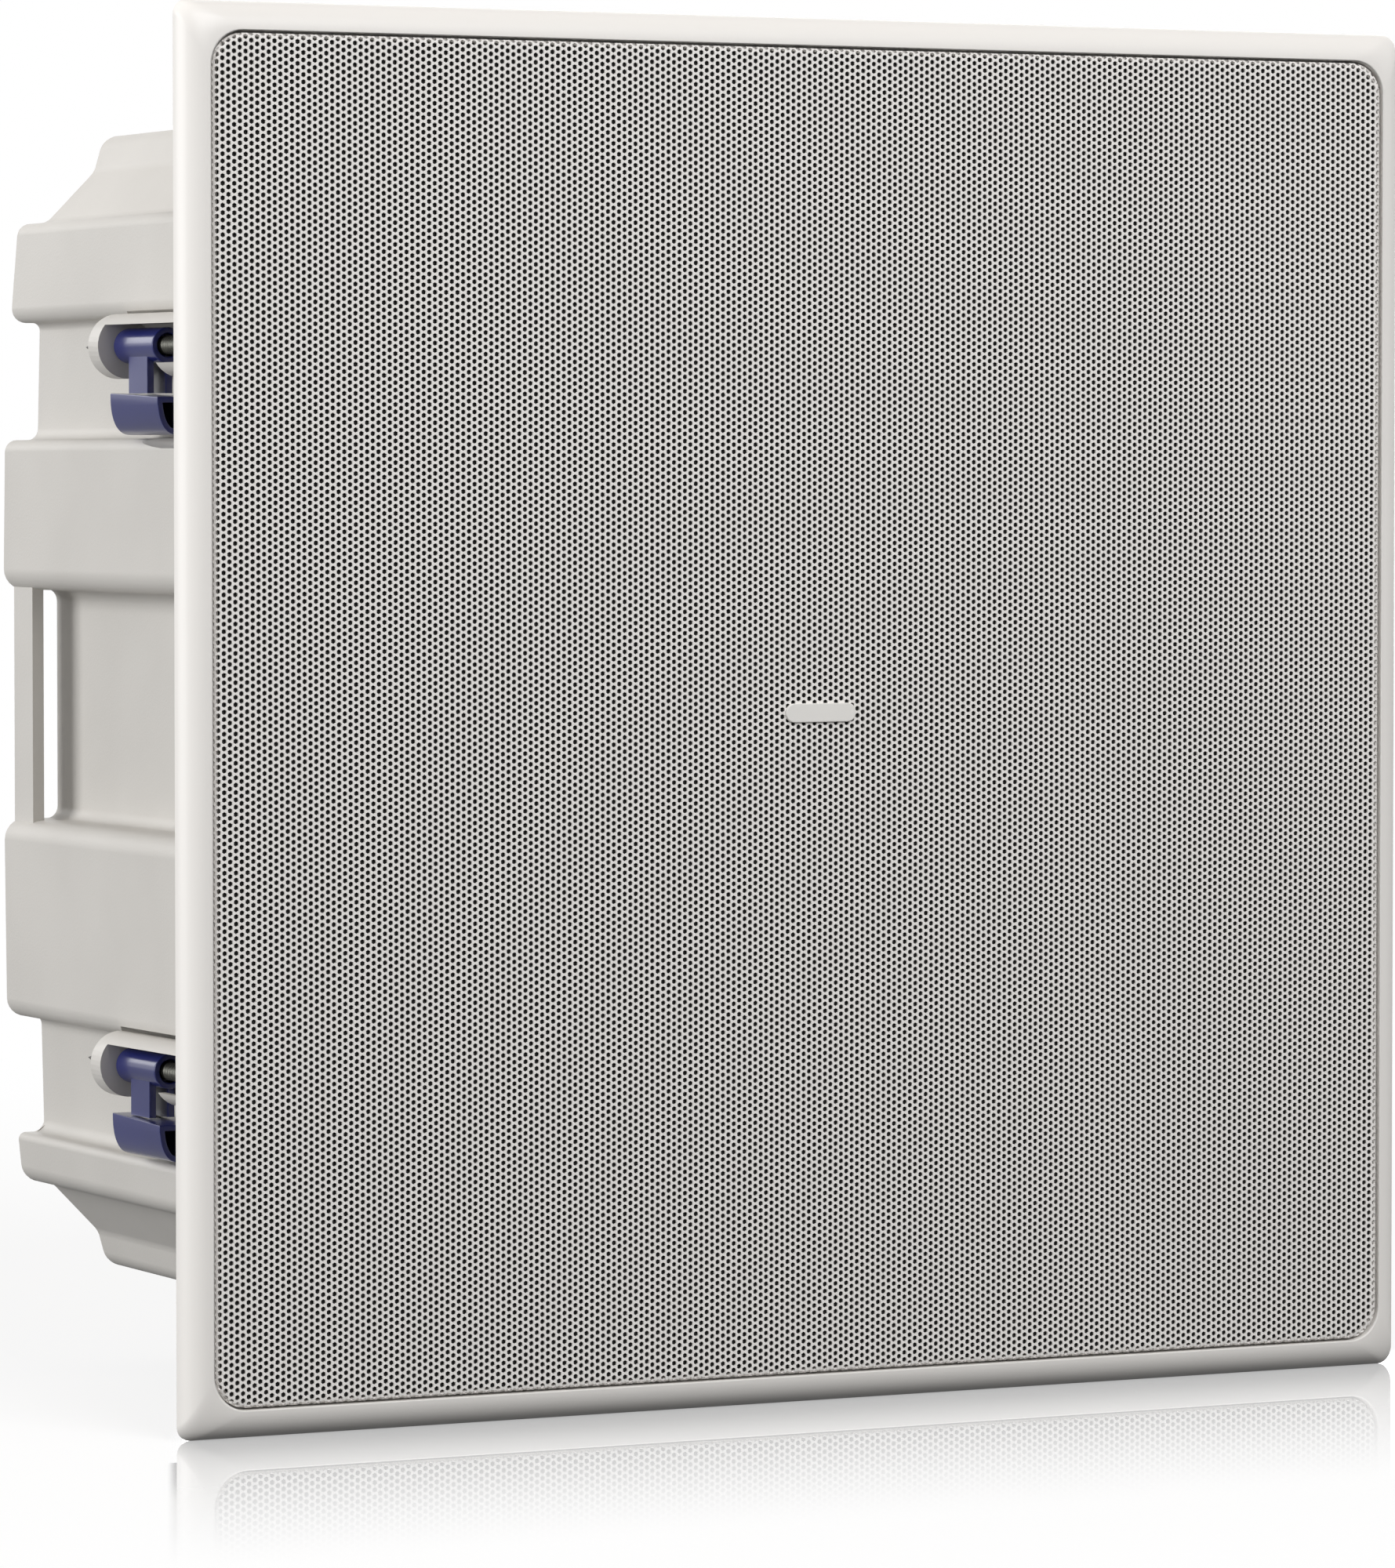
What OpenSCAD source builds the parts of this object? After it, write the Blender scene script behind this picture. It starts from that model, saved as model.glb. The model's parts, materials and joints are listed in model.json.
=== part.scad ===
// Flush-mounted loudspeaker with a square perforated grille, a moulded back box
// and four swing-out clamps that grip the board it is fitted in.
// The front faces -Y, Z is up and the origin is the middle of the bezel's rear face.

/* [Bezel and grille] */
// Width and height of the square bezel
bezel_w = 394; // [350:1:480]
// How far the bezel stands proud of the board
bezel_h = 7; // [5.6:0.1:9]
// Width of the bezel's rounded band beside the grille
bezel_band = 8.3; // [7:0.1:12]
// Radius of the bezel's outer corners
bezel_corner = 4; // [2:0.5:8]
// Radius of the corners of the grille window
window_corner = 10; // [6:0.5:14]
// Gap between the grille's folded edge and the bezel
grille_gap = 0.6; // [0.3:0.05:1]
// Thickness of the grille sheet
grille_t = 1; // [0.6:0.1:1.4]
// Depth of the grille's folded edge, over the sheet
grille_edge = 5; // [4:0.1:5.2]
// Thickness of the cloth behind the grille
cloth_t = 0.3; // [0.2:0.05:0.5]
// Length of the badge on the grille
badge_w = 22.6; // [15:0.1:40]
// Height of the badge
badge_h = 5.4; // [4:0.1:10]
// Thickness of the badge
badge_t = 0.8; // [0.4:0.1:2]

/* [Frame] */
// How far the bezel laps over the board on each side
bezel_lap = 11; // [9:0.5:14]
// Length of the neck from the board's face to the back of the frame plate
neck_d = 18; // [15:0.5:24]
// Wall of the neck
neck_wall = 3; // [2:0.1:4]
// Outer radius of the neck's corners
neck_corner = 8; // [5:0.5:14]
// Thickness of the frame plate that carries the drive unit
plate_t = 5; // [4:0.1:7]
// Width of the shelf that the grille rests on
shelf_w = 8; // [7:0.1:12]
// Diameter of a grille magnet
magnet_d = 6; // [4:0.1:6.5]
// Thickness of a grille magnet
magnet_t = 3; // [2:0.1:3.6]

/* [Clamps] */
// Diameter of a clamp screw
clamp_screw_d = 5.1; // [4:0.1:6.2]
// Distance of an upper clamp's screw from the top of the neck
upper_clamp_drop = 82.2; // [75:0.1:95]
// Distance of a lower clamp's screw from the bottom of the neck
lower_clamp_rise = 86.3; // [75:0.1:95]
// Outer diameter of the shroud round a clamp
shroud_d = 18.4; // [17:0.1:21]
// Wall of a shroud
shroud_wall = 1.6; // [1.2:0.1:2]
// Length of a shroud behind the frame plate
shroud_l = 68; // [60:0.5:80]
// Thickness of a shroud's closed end
shroud_cap = 7; // [4:0.5:9]
// Length of the half-round lip at the front of a shroud
shroud_lip = 24; // [18:0.5:28]
// Height of the upper edge of a shroud's side slot above the screw
slot_top = 6; // [5:0.1:7]
// Depth of the lower edge of a shroud's side slot below the screw
slot_low = 5; // [4.6:0.1:6]
// Diameter of a clamp's boss
boss_d = 10; // [9:0.1:12]
// Length of a clamp's boss
boss_l = 28; // [22:0.5:30]
// Thickness of each of a clamp's two leg posts
post_t = 2.15; // [1.5:0.05:2.6]
// Width across both leg posts
post_span = 7.8; // [6.5:0.1:8.4]
// Width of a leg along the screw
leg_w = 13; // [8:0.5:14]
// Distance from the screw to the top of a clamp's foot
foot_drop = 13.3; // [12:0.1:15]
// Height of a clamp's foot
foot_h = 11.8; // [9:0.1:12.4]
// Width of a clamp's foot
foot_w = 12.8; // [10:0.1:13.2]
// Length of a clamp's foot along the screw
foot_l = 33; // [26:0.5:36]
// Wall of a clamp's hollow foot
foot_wall = 1.6; // [1.2:0.1:2]
// How far a clamp swings out
swing = 0; // [0:1:100]

/* [Back box] */
// Depth of the back box behind the bezel's rear face
box_d = 171; // [150:1:210]
// Wall of the back box
box_wall = 3; // [2.4:0.1:3.6]
// Radius of the lobes' corners
lobe_corner = 6; // [5.6:0.1:9]
// Radius of the corners in the recesses
recess_corner = 3.5; // [2:0.1:6]
// Radius of the box's rear edges on its lobes, top and bottom
rear_round = 5; // [2:0.5:8]
// How far the lobes lie inside the neck
lobe_inset = 9.6; // [9:0.1:14]
// How far the clamp recesses lie inside the neck
clamp_recess_inset = 21; // [20:0.1:26]
// How far the middle recess lies inside the neck
mid_recess_inset = 26.5; // [24:0.1:34]
// Height of the middle recess
mid_recess_h = 67.4; // [40:0.1:76]
// How far the box's top and bottom lie inside the neck
box_top_inset = 19; // [16:0.5:30]
// Width of the flange at the box's open front
flange_w = 5.5; // [5:0.1:6.5]
// Thickness of the foam seal in front of the box
seal_t = 2; // [1:0.1:3]
// Thickness of the side bar across a middle recess
bar_t = 3.3; // [2:0.1:4]
// Width of the side bar from front to rear
bar_w = 13.5; // [10:0.1:18]
// Diameter of the screws that hold the box and the drive unit
screw_d = 4; // [3:0.1:4.5]

/* [Drive unit] */
// Diameter of the drive unit's flange
driver_d = 262; // [210:1:290]
// Width of the flange that laps over the frame plate
driver_lap = 13; // [11:0.5:15]
// Depth from the drive unit's flange to its magnet
basket_d = 58; // [50:1:66]
// Thickness of the basket's metal
basket_t = 2.5; // [1.5:0.1:3]
// Diameter of the voice coil's former
coil_d = 64; // [50:1:66]
// Diameter of the magnet ring
magnet_ring_d = 136; // [110:1:150]
// Thickness of the magnet ring
magnet_ring_t = 18; // [12:1:24]
// Thickness of the pole plates
pole_t = 7; // [5:0.5:9]
// Gap beside the voice coil
coil_gap = 0.5; // [0.4:0.05:0.8]

/* [Hidden] */
$fn = 48;

// Running clearance of a turning screw, and the small clearance of seated pieces
run_gap = 0.08;
fit_gap = 0.1;
soft_gap = 0.3;

neck_w = bezel_w - 2 * bezel_lap;
neck_half = neck_w / 2;
window_w = bezel_w - 2 * bezel_band;
bezel_r = (bezel_band * bezel_band + bezel_h * bezel_h) / (2 * bezel_h);
grille_w = window_w - 2 * grille_gap;
grille_front = -bezel_h;
grille_back = grille_front + grille_t;
shelf_front = grille_back + cloth_t;
groove_floor = grille_front + grille_edge + 0.3;
shelf_out = grille_w - 2 * grille_t - 1;
shelf_in = shelf_out - 2 * shelf_w;
plate_front = neck_d - plate_t;

clamp_x = neck_half - shroud_d / 2 - 0.8;
upper_z = neck_half - upper_clamp_drop;
lower_z = lower_clamp_rise - neck_half;
CLAMPS_LEFT = [upper_z, lower_z];
cap_rear = neck_d + shroud_l;
cap_front = cap_rear - shroud_cap;
lip_rear = neck_d + shroud_lip;
boss_rear = cap_front - soft_gap;
boss_front = boss_rear - boss_l;
leg_rear = boss_rear - 9;
leg_front = leg_rear - leg_w;
foot_rear = boss_rear - 1.7;
foot_front = foot_rear - foot_l;
clamp_head_d = clamp_screw_d + 4.3;
clamp_head_h = 3.4;
clamp_tip = cap_rear + 23;
clamp_hole_d = clamp_screw_d + 2 * run_gap;
shroud_room = 1.2;
swing_r = norm([foot_w / 2, foot_drop + foot_h]) + 1;

box_front = neck_d + seal_t;
lobe_x = neck_half - lobe_inset;
box_top = neck_half - box_top_inset;
recess_x = neck_half - clamp_recess_inset;
mid_x = neck_half - mid_recess_inset;
mid_z = mid_recess_h / 2;
recess_top = 7.9;
recess_low = swing_r - 0.5;
bar_rear = box_d - 2;
bar_x = lobe_x - 3.3;
bar_end = 8;
box_screw_x = lobe_x - box_wall - 4.2;

driver_hole_d = driver_d - 2 * driver_lap;
driver_pcd = driver_d - driver_lap + 1;
driver_rear = plate_front - 1;
flange_front = driver_rear - basket_t;
seat_rear = driver_rear + basket_d;
seat_r = magnet_ring_d / 2 + 4;
coil_r = coil_d / 2;
plate_r = magnet_ring_d / 2 - 6;
gap_r = coil_r + 0.7 + coil_gap;
pole_r = coil_r - 0.5 - coil_gap;
magnet_rear = seat_rear + pole_t + magnet_ring_t;
surround_r = 9;
cone_r = driver_hole_d / 2 - 20;
lip_y = flange_front - 0.8;
spider_y = seat_rear - 16;
spider_r = driver_hole_d / 2 - (spider_y - driver_rear) * slope() - 7;

board_y = box_d - box_wall - 10;
board_w = 110;
board_h = 70;
board_z = box_top - 57;
terminal_z = -60;

// Outline of the left half of the back box at the start of its rear edge, from the
// top down: [x, z, corner radius]. The right half is the same, turned half a turn.
LEFT_OUTLINE = [
    [-(lobe_x - 32.4), box_top, lobe_corner],
    [-(lobe_x - 29.4), box_top - 10.5, lobe_corner],
    [-(lobe_x - 13.9), box_top - 26, lobe_corner],
    [-(lobe_x - 5), box_top - 26.5, lobe_corner],
    [-(lobe_x - 2.6), upper_z + recess_top, lobe_corner],
    [-(recess_x - 0.4), upper_z + recess_top, recess_corner],
    [-(recess_x + 0.4), upper_z - recess_low, recess_corner],
    [-(lobe_x - 0.6), upper_z - recess_low, lobe_corner],
    [-lobe_x, mid_z, lobe_corner],
    [-mid_x, mid_z, recess_corner],
    [-mid_x, -mid_z, recess_corner],
    [-lobe_x, -mid_z, lobe_corner],
    [-(lobe_x - 0.6), lower_z + recess_top, lobe_corner],
    [-(recess_x - 0.1), lower_z + recess_top, recess_corner],
    [-(recess_x - 0.9), lower_z - recess_low, recess_corner],
    [-(lobe_x - 3.9), lower_z - recess_low, lobe_corner],
    [-(lobe_x - 5.4), 26.7 - box_top, lobe_corner],
    [-(lobe_x - 14.4), 25.7 - box_top, lobe_corner],
    [-(lobe_x - 29.4), 10.5 - box_top, lobe_corner],
    [-(lobe_x - 32.4), -box_top, lobe_corner]
];
BOX_CORNERS = concat(LEFT_OUTLINE, [for (p = LEFT_OUTLINE) [-p[0], -p[1], p[2]]]);
ARC_STEPS = 3;

// Screws through the frame plate into the back box, left half
BOX_SCREWS = [
    [-(box_screw_x - 5), (box_top - 26.5 + upper_z + recess_top) / 2],
    [-box_screw_x, (upper_z - recess_low + mid_z) / 2],
    [-box_screw_x, (lower_z + recess_top - mid_z) / 2],
    [-(box_screw_x - 6), (lower_z - recess_low + 26.5 - box_top) / 2],
    [-70, box_top - box_wall - 4.2],
    [70, box_top - box_wall - 4.2]
];

function slope() = (driver_hole_d / 2 - seat_r) / basket_d;
function unit(v) = v / norm(v);
function inward(p, q) = let (u = unit(q - p)) [-u.y, u.x];
function spot(c) = [c[0], c[1]];

// Points of the rounded corner i of a closed outline moved inward by d
function corner(c, i, d) =
    let (
        n = len(c),
        v = spot(c[i]),
        a = spot(c[(i + n - 1) % n]),
        b = spot(c[(i + 1) % n]),
        na = inward(a, v),
        nb = inward(v, b),
        turn = atan2(na.x * nb.y - na.y * nb.x, na * nb),
        bend = sign(turn),
        limit = 0.45 * min(norm(v - a), norm(b - v)) / max(0.3, tan(abs(turn) / 2)),
        r = max(0.3, min(c[i][2], limit) - bend * d),
        m = (na + nb) / (1 + na * nb),
        centre = v + d * m + bend * r * m
    )
    [for (k = [0:ARC_STEPS]) let (s = k / ARC_STEPS * turn)
        centre - bend * r * [na.x * cos(s) - na.y * sin(s), na.x * sin(s) + na.y * cos(s)]];
function box_outline(d) = [for (i = [0:len(BOX_CORNERS) - 1]) each corner(BOX_CORNERS, i, d)];

// Points of a ring of a lead of diameter d round point i of its route
function lead_ring(d, route, i) =
    let (
        t = unit(route[min(i + 1, len(route) - 1)] - route[max(i - 1, 0)]),
        u = unit(cross(t, [1, 0, 0])),
        v = cross(t, u)
    )
    [for (k = [0:7]) route[i] + d / 2 * (u * cos(45 * k) + v * sin(45 * k))];

// Shapes in the plane of the bezel, from depth y0 to depth y1
module slab(y0, y1) {
    translate([0, y1, 0])
        rotate([90, 0, 0])
            linear_extrude(y1 - y0)
                children();
}

// A profile of [radius, depth] turned round the Y axis
module turned() {
    rotate([-90, 0, 0])
        rotate_extrude($fn = 96)
            children();
}

module rod(d, y0, y1) {
    translate([0, y0, 0])
        rotate([-90, 0, 0])
            cylinder(d = d, h = y1 - y0);
}

module ring(r_in, r_out, y0, y1) {
    turned()
        translate([r_in, y0])
            square([r_out - r_in, y1 - y0]);
}

module both_sides() {
    children();
    rotate([0, 180, 0])
        children();
}

module rounded_square(w, r) {
    square([w, w - 2 * r], center = true);
    square([w - 2 * r, w], center = true);
    for (x = [-1, 1], z = [-1, 1])
        translate([x * (w / 2 - r), z * (w / 2 - r)])
            circle(r);
}

module square_ring(w_out, r_out, w_in, r_in, y0, y1) {
    slab(y0, y1)
        difference() {
            rounded_square(w_out, r_out);
            rounded_square(w_in, r_in);
        }
}

// A square plate whose front edges are rounded, with a mitre line at each corner
module crowned_plate(w, r, y0, y1, corner_r) {
    intersection() {
        crowned_bar(w, r, y0, y1);
        rotate([0, 90, 0])
            crowned_bar(w, r, y0, y1);
        slab(y0, y1)
            rounded_square(w, corner_r);
    }
}

module crowned_bar(w, r, y0, y1) {
    flat = w / 2 - sqrt(r * r - pow(max(0, r - (y1 - y0)), 2));
    linear_extrude(w + 2, center = true)
        intersection() {
            union() {
                translate([-flat, y0])
                    square([2 * flat, y1 - y0]);
                translate([-w / 2, y0 + r])
                    square([w, max(0.01, y1 - y0 - r)]);
                for (s = [-1, 1])
                    translate([s * flat, y0 + r])
                        circle(r, $fn = 96);
            }
            translate([-w / 2, y0])
                square([w, y1 - y0]);
        }
}

module pan_screw(d, head_d, head_h, y, l) {
    difference() {
        union() {
            rod(head_d, y - head_h, y);
            rod(d, y - 0.5, y + l - d / 2);
            translate([0, y + l - d / 2, 0])
                rotate([-90, 0, 0])
                    cylinder(d1 = d, d2 = d / 2, h = d / 2);
        }
        for (a = [0, 90])
            rotate([0, a, 0])
                translate([-head_d / 4, y - head_h - 1, -head_d / 16])
                    cube([head_d / 2, 1 + head_h / 2, head_d / 8]);
    }
}

module at_clamps() {
    both_sides()
        for (z = CLAMPS_LEFT)
            translate([-clamp_x, 0, z])
                children();
}

module at_box_screws() {
    both_sides()
        for (p = BOX_SCREWS)
            translate([p.x, 0, p.y])
                children();
}

module at_magnets() {
    m = (shelf_out + shelf_in) / 4;
    for (a = [0:90:270], s = [-1, 1])
        rotate([0, a, 0])
            translate([s * window_w / 4, 0, m])
                children();
}

module at_driver_screws() {
    for (a = [22.5:45:359])
        rotate([0, a, 0])
            translate([driver_pcd / 2, 0, 0])
                children();
}

// Half-open tube that carries one clamp. The leg drops through the slot's open
// bottom, and once swung out it slides forward between the lip and the slot's top.
module shroud() {
    difference() {
        rod(shroud_d, neck_d - 1, cap_rear);
        rod(shroud_d - 2 * shroud_wall, neck_d, cap_front);
        translate([-shroud_d, lip_rear, -shroud_d])
            cube([shroud_d + post_span / 2 + 0.5, cap_front - lip_rear, shroud_d + slot_top]);
        translate([-shroud_d, neck_d, -slot_low])
            cube([shroud_d, lip_rear - neck_d + 1, slot_low + slot_top]);
    }
}

module front_frame() {
    color([0.93, 0.92, 0.90])
        difference() {
            union() {
                difference() {
                    crowned_plate(bezel_w, bezel_r, -bezel_h, 0, bezel_corner);
                    slab(-bezel_h - 1, groove_floor)
                        rounded_square(window_w, window_corner);
                    slab(-bezel_h - 1, 1)
                        rounded_square(shelf_in, window_corner - 3);
                }
                square_ring(shelf_out, window_corner - 1.5, shelf_in, window_corner - 3,
                    shelf_front, 0);
                square_ring(neck_w, neck_corner, neck_w - 2 * neck_wall,
                    neck_corner - neck_wall, -1, neck_d);
                slab(plate_front, neck_d)
                    rounded_square(neck_w, neck_corner);
                for (a = [45:90:315])
                    rotate([0, a, 0])
                        translate([driver_d / 2 + 4, plate_front - 6, -1.5])
                            cube([neck_half * 1.38 - driver_d / 2 - 8, 7, 3]);
                at_clamps() {
                    shroud();
                    rod(clamp_head_d + 3, plate_front - clamp_head_h, neck_d);
                }
            }
            rod(driver_hole_d, plate_front - 1, neck_d + 1);
            at_clamps() {
                rod(clamp_hole_d, plate_front - 1, cap_rear + 1);
                rod(clamp_head_d + 0.8, plate_front - clamp_head_h - 1, plate_front);
            }
            at_box_screws()
                rod(screw_d + 0.5, plate_front - 1, neck_d + 1);
            at_driver_screws()
                rod(screw_d + 2 * fit_gap, plate_front - 1, neck_d + 1);
            at_magnets()
                rod(magnet_d + 2 * fit_gap, shelf_front - 1, shelf_front + magnet_t);
        }
}

module grille() {
    color([0.92, 0.91, 0.89])
        difference() {
            crowned_plate(grille_w, grille_t + 0.2, grille_front, grille_front + grille_edge,
                window_corner - grille_gap);
            slab(grille_back, grille_front + grille_edge + 1)
                rounded_square(grille_w - 2 * grille_t, window_corner - grille_gap - grille_t);
        }
}

module grille_cloth() {
    color([0.12, 0.12, 0.12])
        slab(grille_back, shelf_front)
            rounded_square(shelf_out, window_corner - 1.5);
}

module grille_badge() {
    color([0.83, 0.83, 0.83])
        slab(grille_front - badge_t, grille_front) {
            square([badge_w - badge_h, badge_h], center = true);
            for (s = [-1, 1])
                translate([s * (badge_w - badge_h) / 2, 0])
                    circle(d = badge_h);
        }
}

module grille_magnets() {
    color([0.6, 0.6, 0.62])
        at_magnets()
            rod(magnet_d, shelf_front, shelf_front + magnet_t);
}

module foot_outline(w, h, top) {
    polygon([for (a = [0:10:180]) [-w / 2 * cos(a), -top - h * sin(a)]]);
}

module clamp_dog() {
    difference() {
        union() {
            turned() {
                translate([0, boss_front])
                    square([boss_d / 2, boss_l - 2]);
                translate([0, boss_front])
                    square([boss_d / 2 - 2, boss_l]);
                translate([boss_d / 2 - 2, boss_rear - 2])
                    circle(2);
            }
            for (s = [-1, 1])
                translate([s * (post_span - post_t) / 2 - post_t / 2, leg_front, -foot_drop - 0.5])
                    cube([post_t, leg_w, foot_drop - 1]);
            slab(foot_front, foot_rear)
                foot_outline(foot_w, foot_h, foot_drop);
        }
        slab(foot_front - 1, foot_rear - 2)
            foot_outline(foot_w - 2 * foot_wall, foot_h - 2 * foot_wall + 0.2,
                foot_drop + foot_wall - 0.2);
        rod(clamp_hole_d, boss_front - 1, boss_rear + 1);
        rod(clamp_screw_d + 1.5, boss_front - 1, boss_front + 6);
    }
}

module clamp_at(side, z) {
    rotate([0, side < 0 ? 0 : 180, 0])
        translate([-clamp_x, 0, z])
            rotate([0, swing, 0])
                children();
}

module clamp_dog_upper_left() {
    color([0.16, 0.20, 0.42])
        clamp_at(-1, upper_z)
            clamp_dog();
}

module clamp_dog_lower_left() {
    color([0.16, 0.20, 0.42])
        clamp_at(-1, lower_z)
            clamp_dog();
}

module clamp_dog_upper_right() {
    color([0.16, 0.20, 0.42])
        clamp_at(1, lower_z)
            clamp_dog();
}

module clamp_dog_lower_right() {
    color([0.16, 0.20, 0.42])
        clamp_at(1, upper_z)
            clamp_dog();
}

module clamp_screw(x, z) {
    color([0.29, 0.29, 0.28])
        translate([x, 0, z])
            difference() {
                turned()
                    polygon([
                        [0, plate_front - clamp_head_h],
                        [clamp_head_d / 2 - 0.8, plate_front - clamp_head_h],
                        [clamp_head_d / 2, plate_front - clamp_head_h + 0.8],
                        [clamp_head_d / 2, plate_front],
                        [clamp_screw_d / 2, plate_front],
                        [clamp_screw_d / 2, clamp_tip - 5],
                        [0, clamp_tip]
                    ]);
                for (a = [0, 90])
                    rotate([0, a, 0])
                        translate([-2.6, plate_front - clamp_head_h - 1, -0.6])
                            cube([5.2, 3, 1.2]);
            }
}

module clamp_screw_upper_left() {
    clamp_screw(-clamp_x, upper_z);
}

module clamp_screw_lower_left() {
    clamp_screw(-clamp_x, lower_z);
}

module clamp_screw_upper_right() {
    clamp_screw(clamp_x, -lower_z);
}

module clamp_screw_lower_right() {
    clamp_screw(clamp_x, -upper_z);
}

// A bar of width w along Z that ends at the box's rear, with its rear edges rounded
module rounded_bar(w, len) {
    side = w / 2 - rear_round;
    linear_extrude(len, center = true)
        union() {
            translate([-w / 2, box_front - 1])
                square([w, box_d - rear_round - box_front + 1]);
            translate([-side, box_front - 1])
                square([2 * side, box_d - box_front + 1]);
            for (s = [-1, 1])
                translate([s * side, box_d - rear_round])
                    circle(rear_round);
        }
}

// What the clamps need clear of the box's lobes, grown by a wall or by nothing
module clamp_room(grow) {
    at_clamps() {
        rod(shroud_d + 2 * shroud_room + 2 * grow, neck_d - 2, cap_rear + 2 + grow);
        intersection() {
            rod(2 * swing_r + 2 * grow, neck_d - 2, boss_rear + 3 + grow);
            translate([-50, 0, -50])
                cube([50 + clamp_x - recess_x - 1.6 + grow, box_d, 50 + grow]);
        }
    }
}

module bar_shape(grow, len) {
    translate([-bar_x - grow, bar_rear - bar_w - grow, -len / 2])
        cube([bar_t + 2 * grow, bar_w + 2 * grow, len]);
}

module back_box() {
    color([0.81, 0.80, 0.78])
        difference() {
            union() {
                difference() {
                    difference() {
                        intersection() {
                            slab(box_front, box_d)
                                polygon(box_outline(0));
                            rounded_bar(2 * lobe_x, 2 * box_top + 2);
                            rotate([0, 90, 0])
                                rounded_bar(2 * box_top, 2 * lobe_x + 2);
                        }
                        clamp_room(0);
                    }
                    difference() {
                        slab(box_front - 1, box_d - box_wall)
                            polygon(box_outline(box_wall));
                        clamp_room(box_wall);
                    }
                }
                difference() {
                    slab(box_front, box_front + 4)
                        difference() {
                            polygon(box_outline(1));
                            polygon(box_outline(flange_w));
                        }
                    clamp_room(0);
                }
                at_box_screws()
                    rod(screw_d + 5, box_front, box_front + 18);
                for (x = [-1, 1], z = [-1, 1])
                    translate([x * (board_w / 2 - 6), 0, board_z + z * (board_h / 2 - 6)])
                        rod(8, board_y + 1.6, box_d - 1);
            }
            at_box_screws()
                rod(screw_d + 2 * fit_gap, box_front - 1, box_front + 16);
            for (x = [-1, 1], z = [-1, 1])
                translate([x * (board_w / 2 - 6), 0, board_z + z * (board_h / 2 - 6)])
                    rod(3 + 2 * fit_gap, board_y, board_y + 8);
            both_sides()
                bar_shape(fit_gap, mid_recess_h + 2 * bar_end + 2 * fit_gap);
            translate([-20 - fit_gap, box_d - box_wall - 1, terminal_z - 11 - fit_gap])
                cube([40 + 2 * fit_gap, box_wall + 2, 22 + 2 * fit_gap]);
        }
}

module box_seal() {
    color([0.2, 0.2, 0.2])
        difference() {
            slab(neck_d, box_front)
                difference() {
                    polygon(box_outline(0.5));
                    polygon(box_outline(flange_w));
                }
            clamp_room(0.5);
            at_box_screws()
                rod(screw_d + 0.5, neck_d - 1, box_front + 1);
        }
}

module box_screws() {
    color([0.35, 0.35, 0.36])
        at_box_screws()
            pan_screw(screw_d, screw_d + 4, 2.6, plate_front, box_front - plate_front + 14);
}

module side_bar_left() {
    color([0.77, 0.76, 0.74])
        bar_shape(0, mid_recess_h + 2 * bar_end);
}

module side_bar_right() {
    color([0.77, 0.76, 0.74])
        rotate([0, 180, 0])
            bar_shape(0, mid_recess_h + 2 * bar_end);
}

module driver_gasket() {
    color([0.15, 0.15, 0.15])
        difference() {
            ring(driver_hole_d / 2 + 1, driver_d / 2, driver_rear, plate_front);
            at_driver_screws()
                rod(screw_d + 0.5, driver_rear - 1, plate_front + 1);
        }
}

module driver_basket() {
    hole_r = driver_hole_d / 2;
    color([0.25, 0.25, 0.26])
        difference() {
            turned() {
                polygon([
                    [hole_r - 0.5 - basket_t, flange_front],
                    [driver_d / 2, flange_front],
                    [driver_d / 2, driver_rear],
                    [hole_r - 0.5, driver_rear],
                    [seat_r, seat_rear - basket_t],
                    [seat_r, seat_rear],
                    [gap_r + 1, seat_rear],
                    [gap_r + 1, seat_rear - basket_t],
                    [seat_r - basket_t, seat_rear - basket_t],
                    [hole_r - 0.5 - basket_t, driver_rear]
                ]);
                translate([spider_r - 7, spider_y + 1.2])
                    square([10, basket_t]);
            }
            for (a = [0:60:300])
                rotate([0, a, 0])
                    translate([seat_r, driver_rear + 9, -26])
                        cube([hole_r - seat_r, spider_y - driver_rear - 14, 52]);
            at_driver_screws()
                rod(screw_d + 0.5, flange_front - 1, driver_rear + 1);
        }
}

module driver_screws() {
    color([0.35, 0.35, 0.36])
        at_driver_screws()
            pan_screw(screw_d, screw_d + 3.6, 2.4, flange_front, neck_d - flange_front + 4);
}

module surround() {
    mid = cone_r + surround_r + 1;
    color([0.10, 0.10, 0.10])
        turned() {
            intersection() {
                difference() {
                    translate([mid, flange_front])
                        circle(surround_r);
                    translate([mid, flange_front])
                        circle(surround_r - 0.8);
                }
                translate([mid - surround_r, lip_y - surround_r])
                    square([2 * surround_r, surround_r + 0.8]);
            }
            translate([mid + surround_r - 0.8, lip_y])
                square([4.3, 0.8]);
            translate([cone_r - 6, lip_y])
                square([7.8, 0.8]);
        }
}

module cone() {
    inner = coil_r;
    back = seat_rear - 22;
    color([0.16, 0.16, 0.17])
        turned()
            polygon([
                [cone_r, flange_front],
                [cone_r, flange_front + 0.9],
                [cone_r - 6, flange_front + 0.9],
                [(cone_r + inner) / 2 + 2, (flange_front + back) / 2 + 3.5],
                [inner + 4, back + 1],
                [inner, back + 1],
                [inner, back],
                [inner + 3.6, back],
                [(cone_r + inner) / 2 + 1.6, (flange_front + back) / 2 + 2.5],
                [cone_r - 6.4, flange_front]
            ]);
}

module spider() {
    n = 60;
    span = spider_r - coil_r;
    function wave(k) = 1.1 * sin(360 * 6 * k / n) * min(1, k / 5, max(0, n - 10 - k) / 5);
    color([0.75, 0.62, 0.35])
        turned()
            polygon(concat(
                [for (k = [0:n]) [coil_r + span * k / n, spider_y + wave(k)]],
                [for (k = [n:-1:0]) [coil_r + span * k / n, spider_y + wave(k) + 1.2]]
            ));
}

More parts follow.
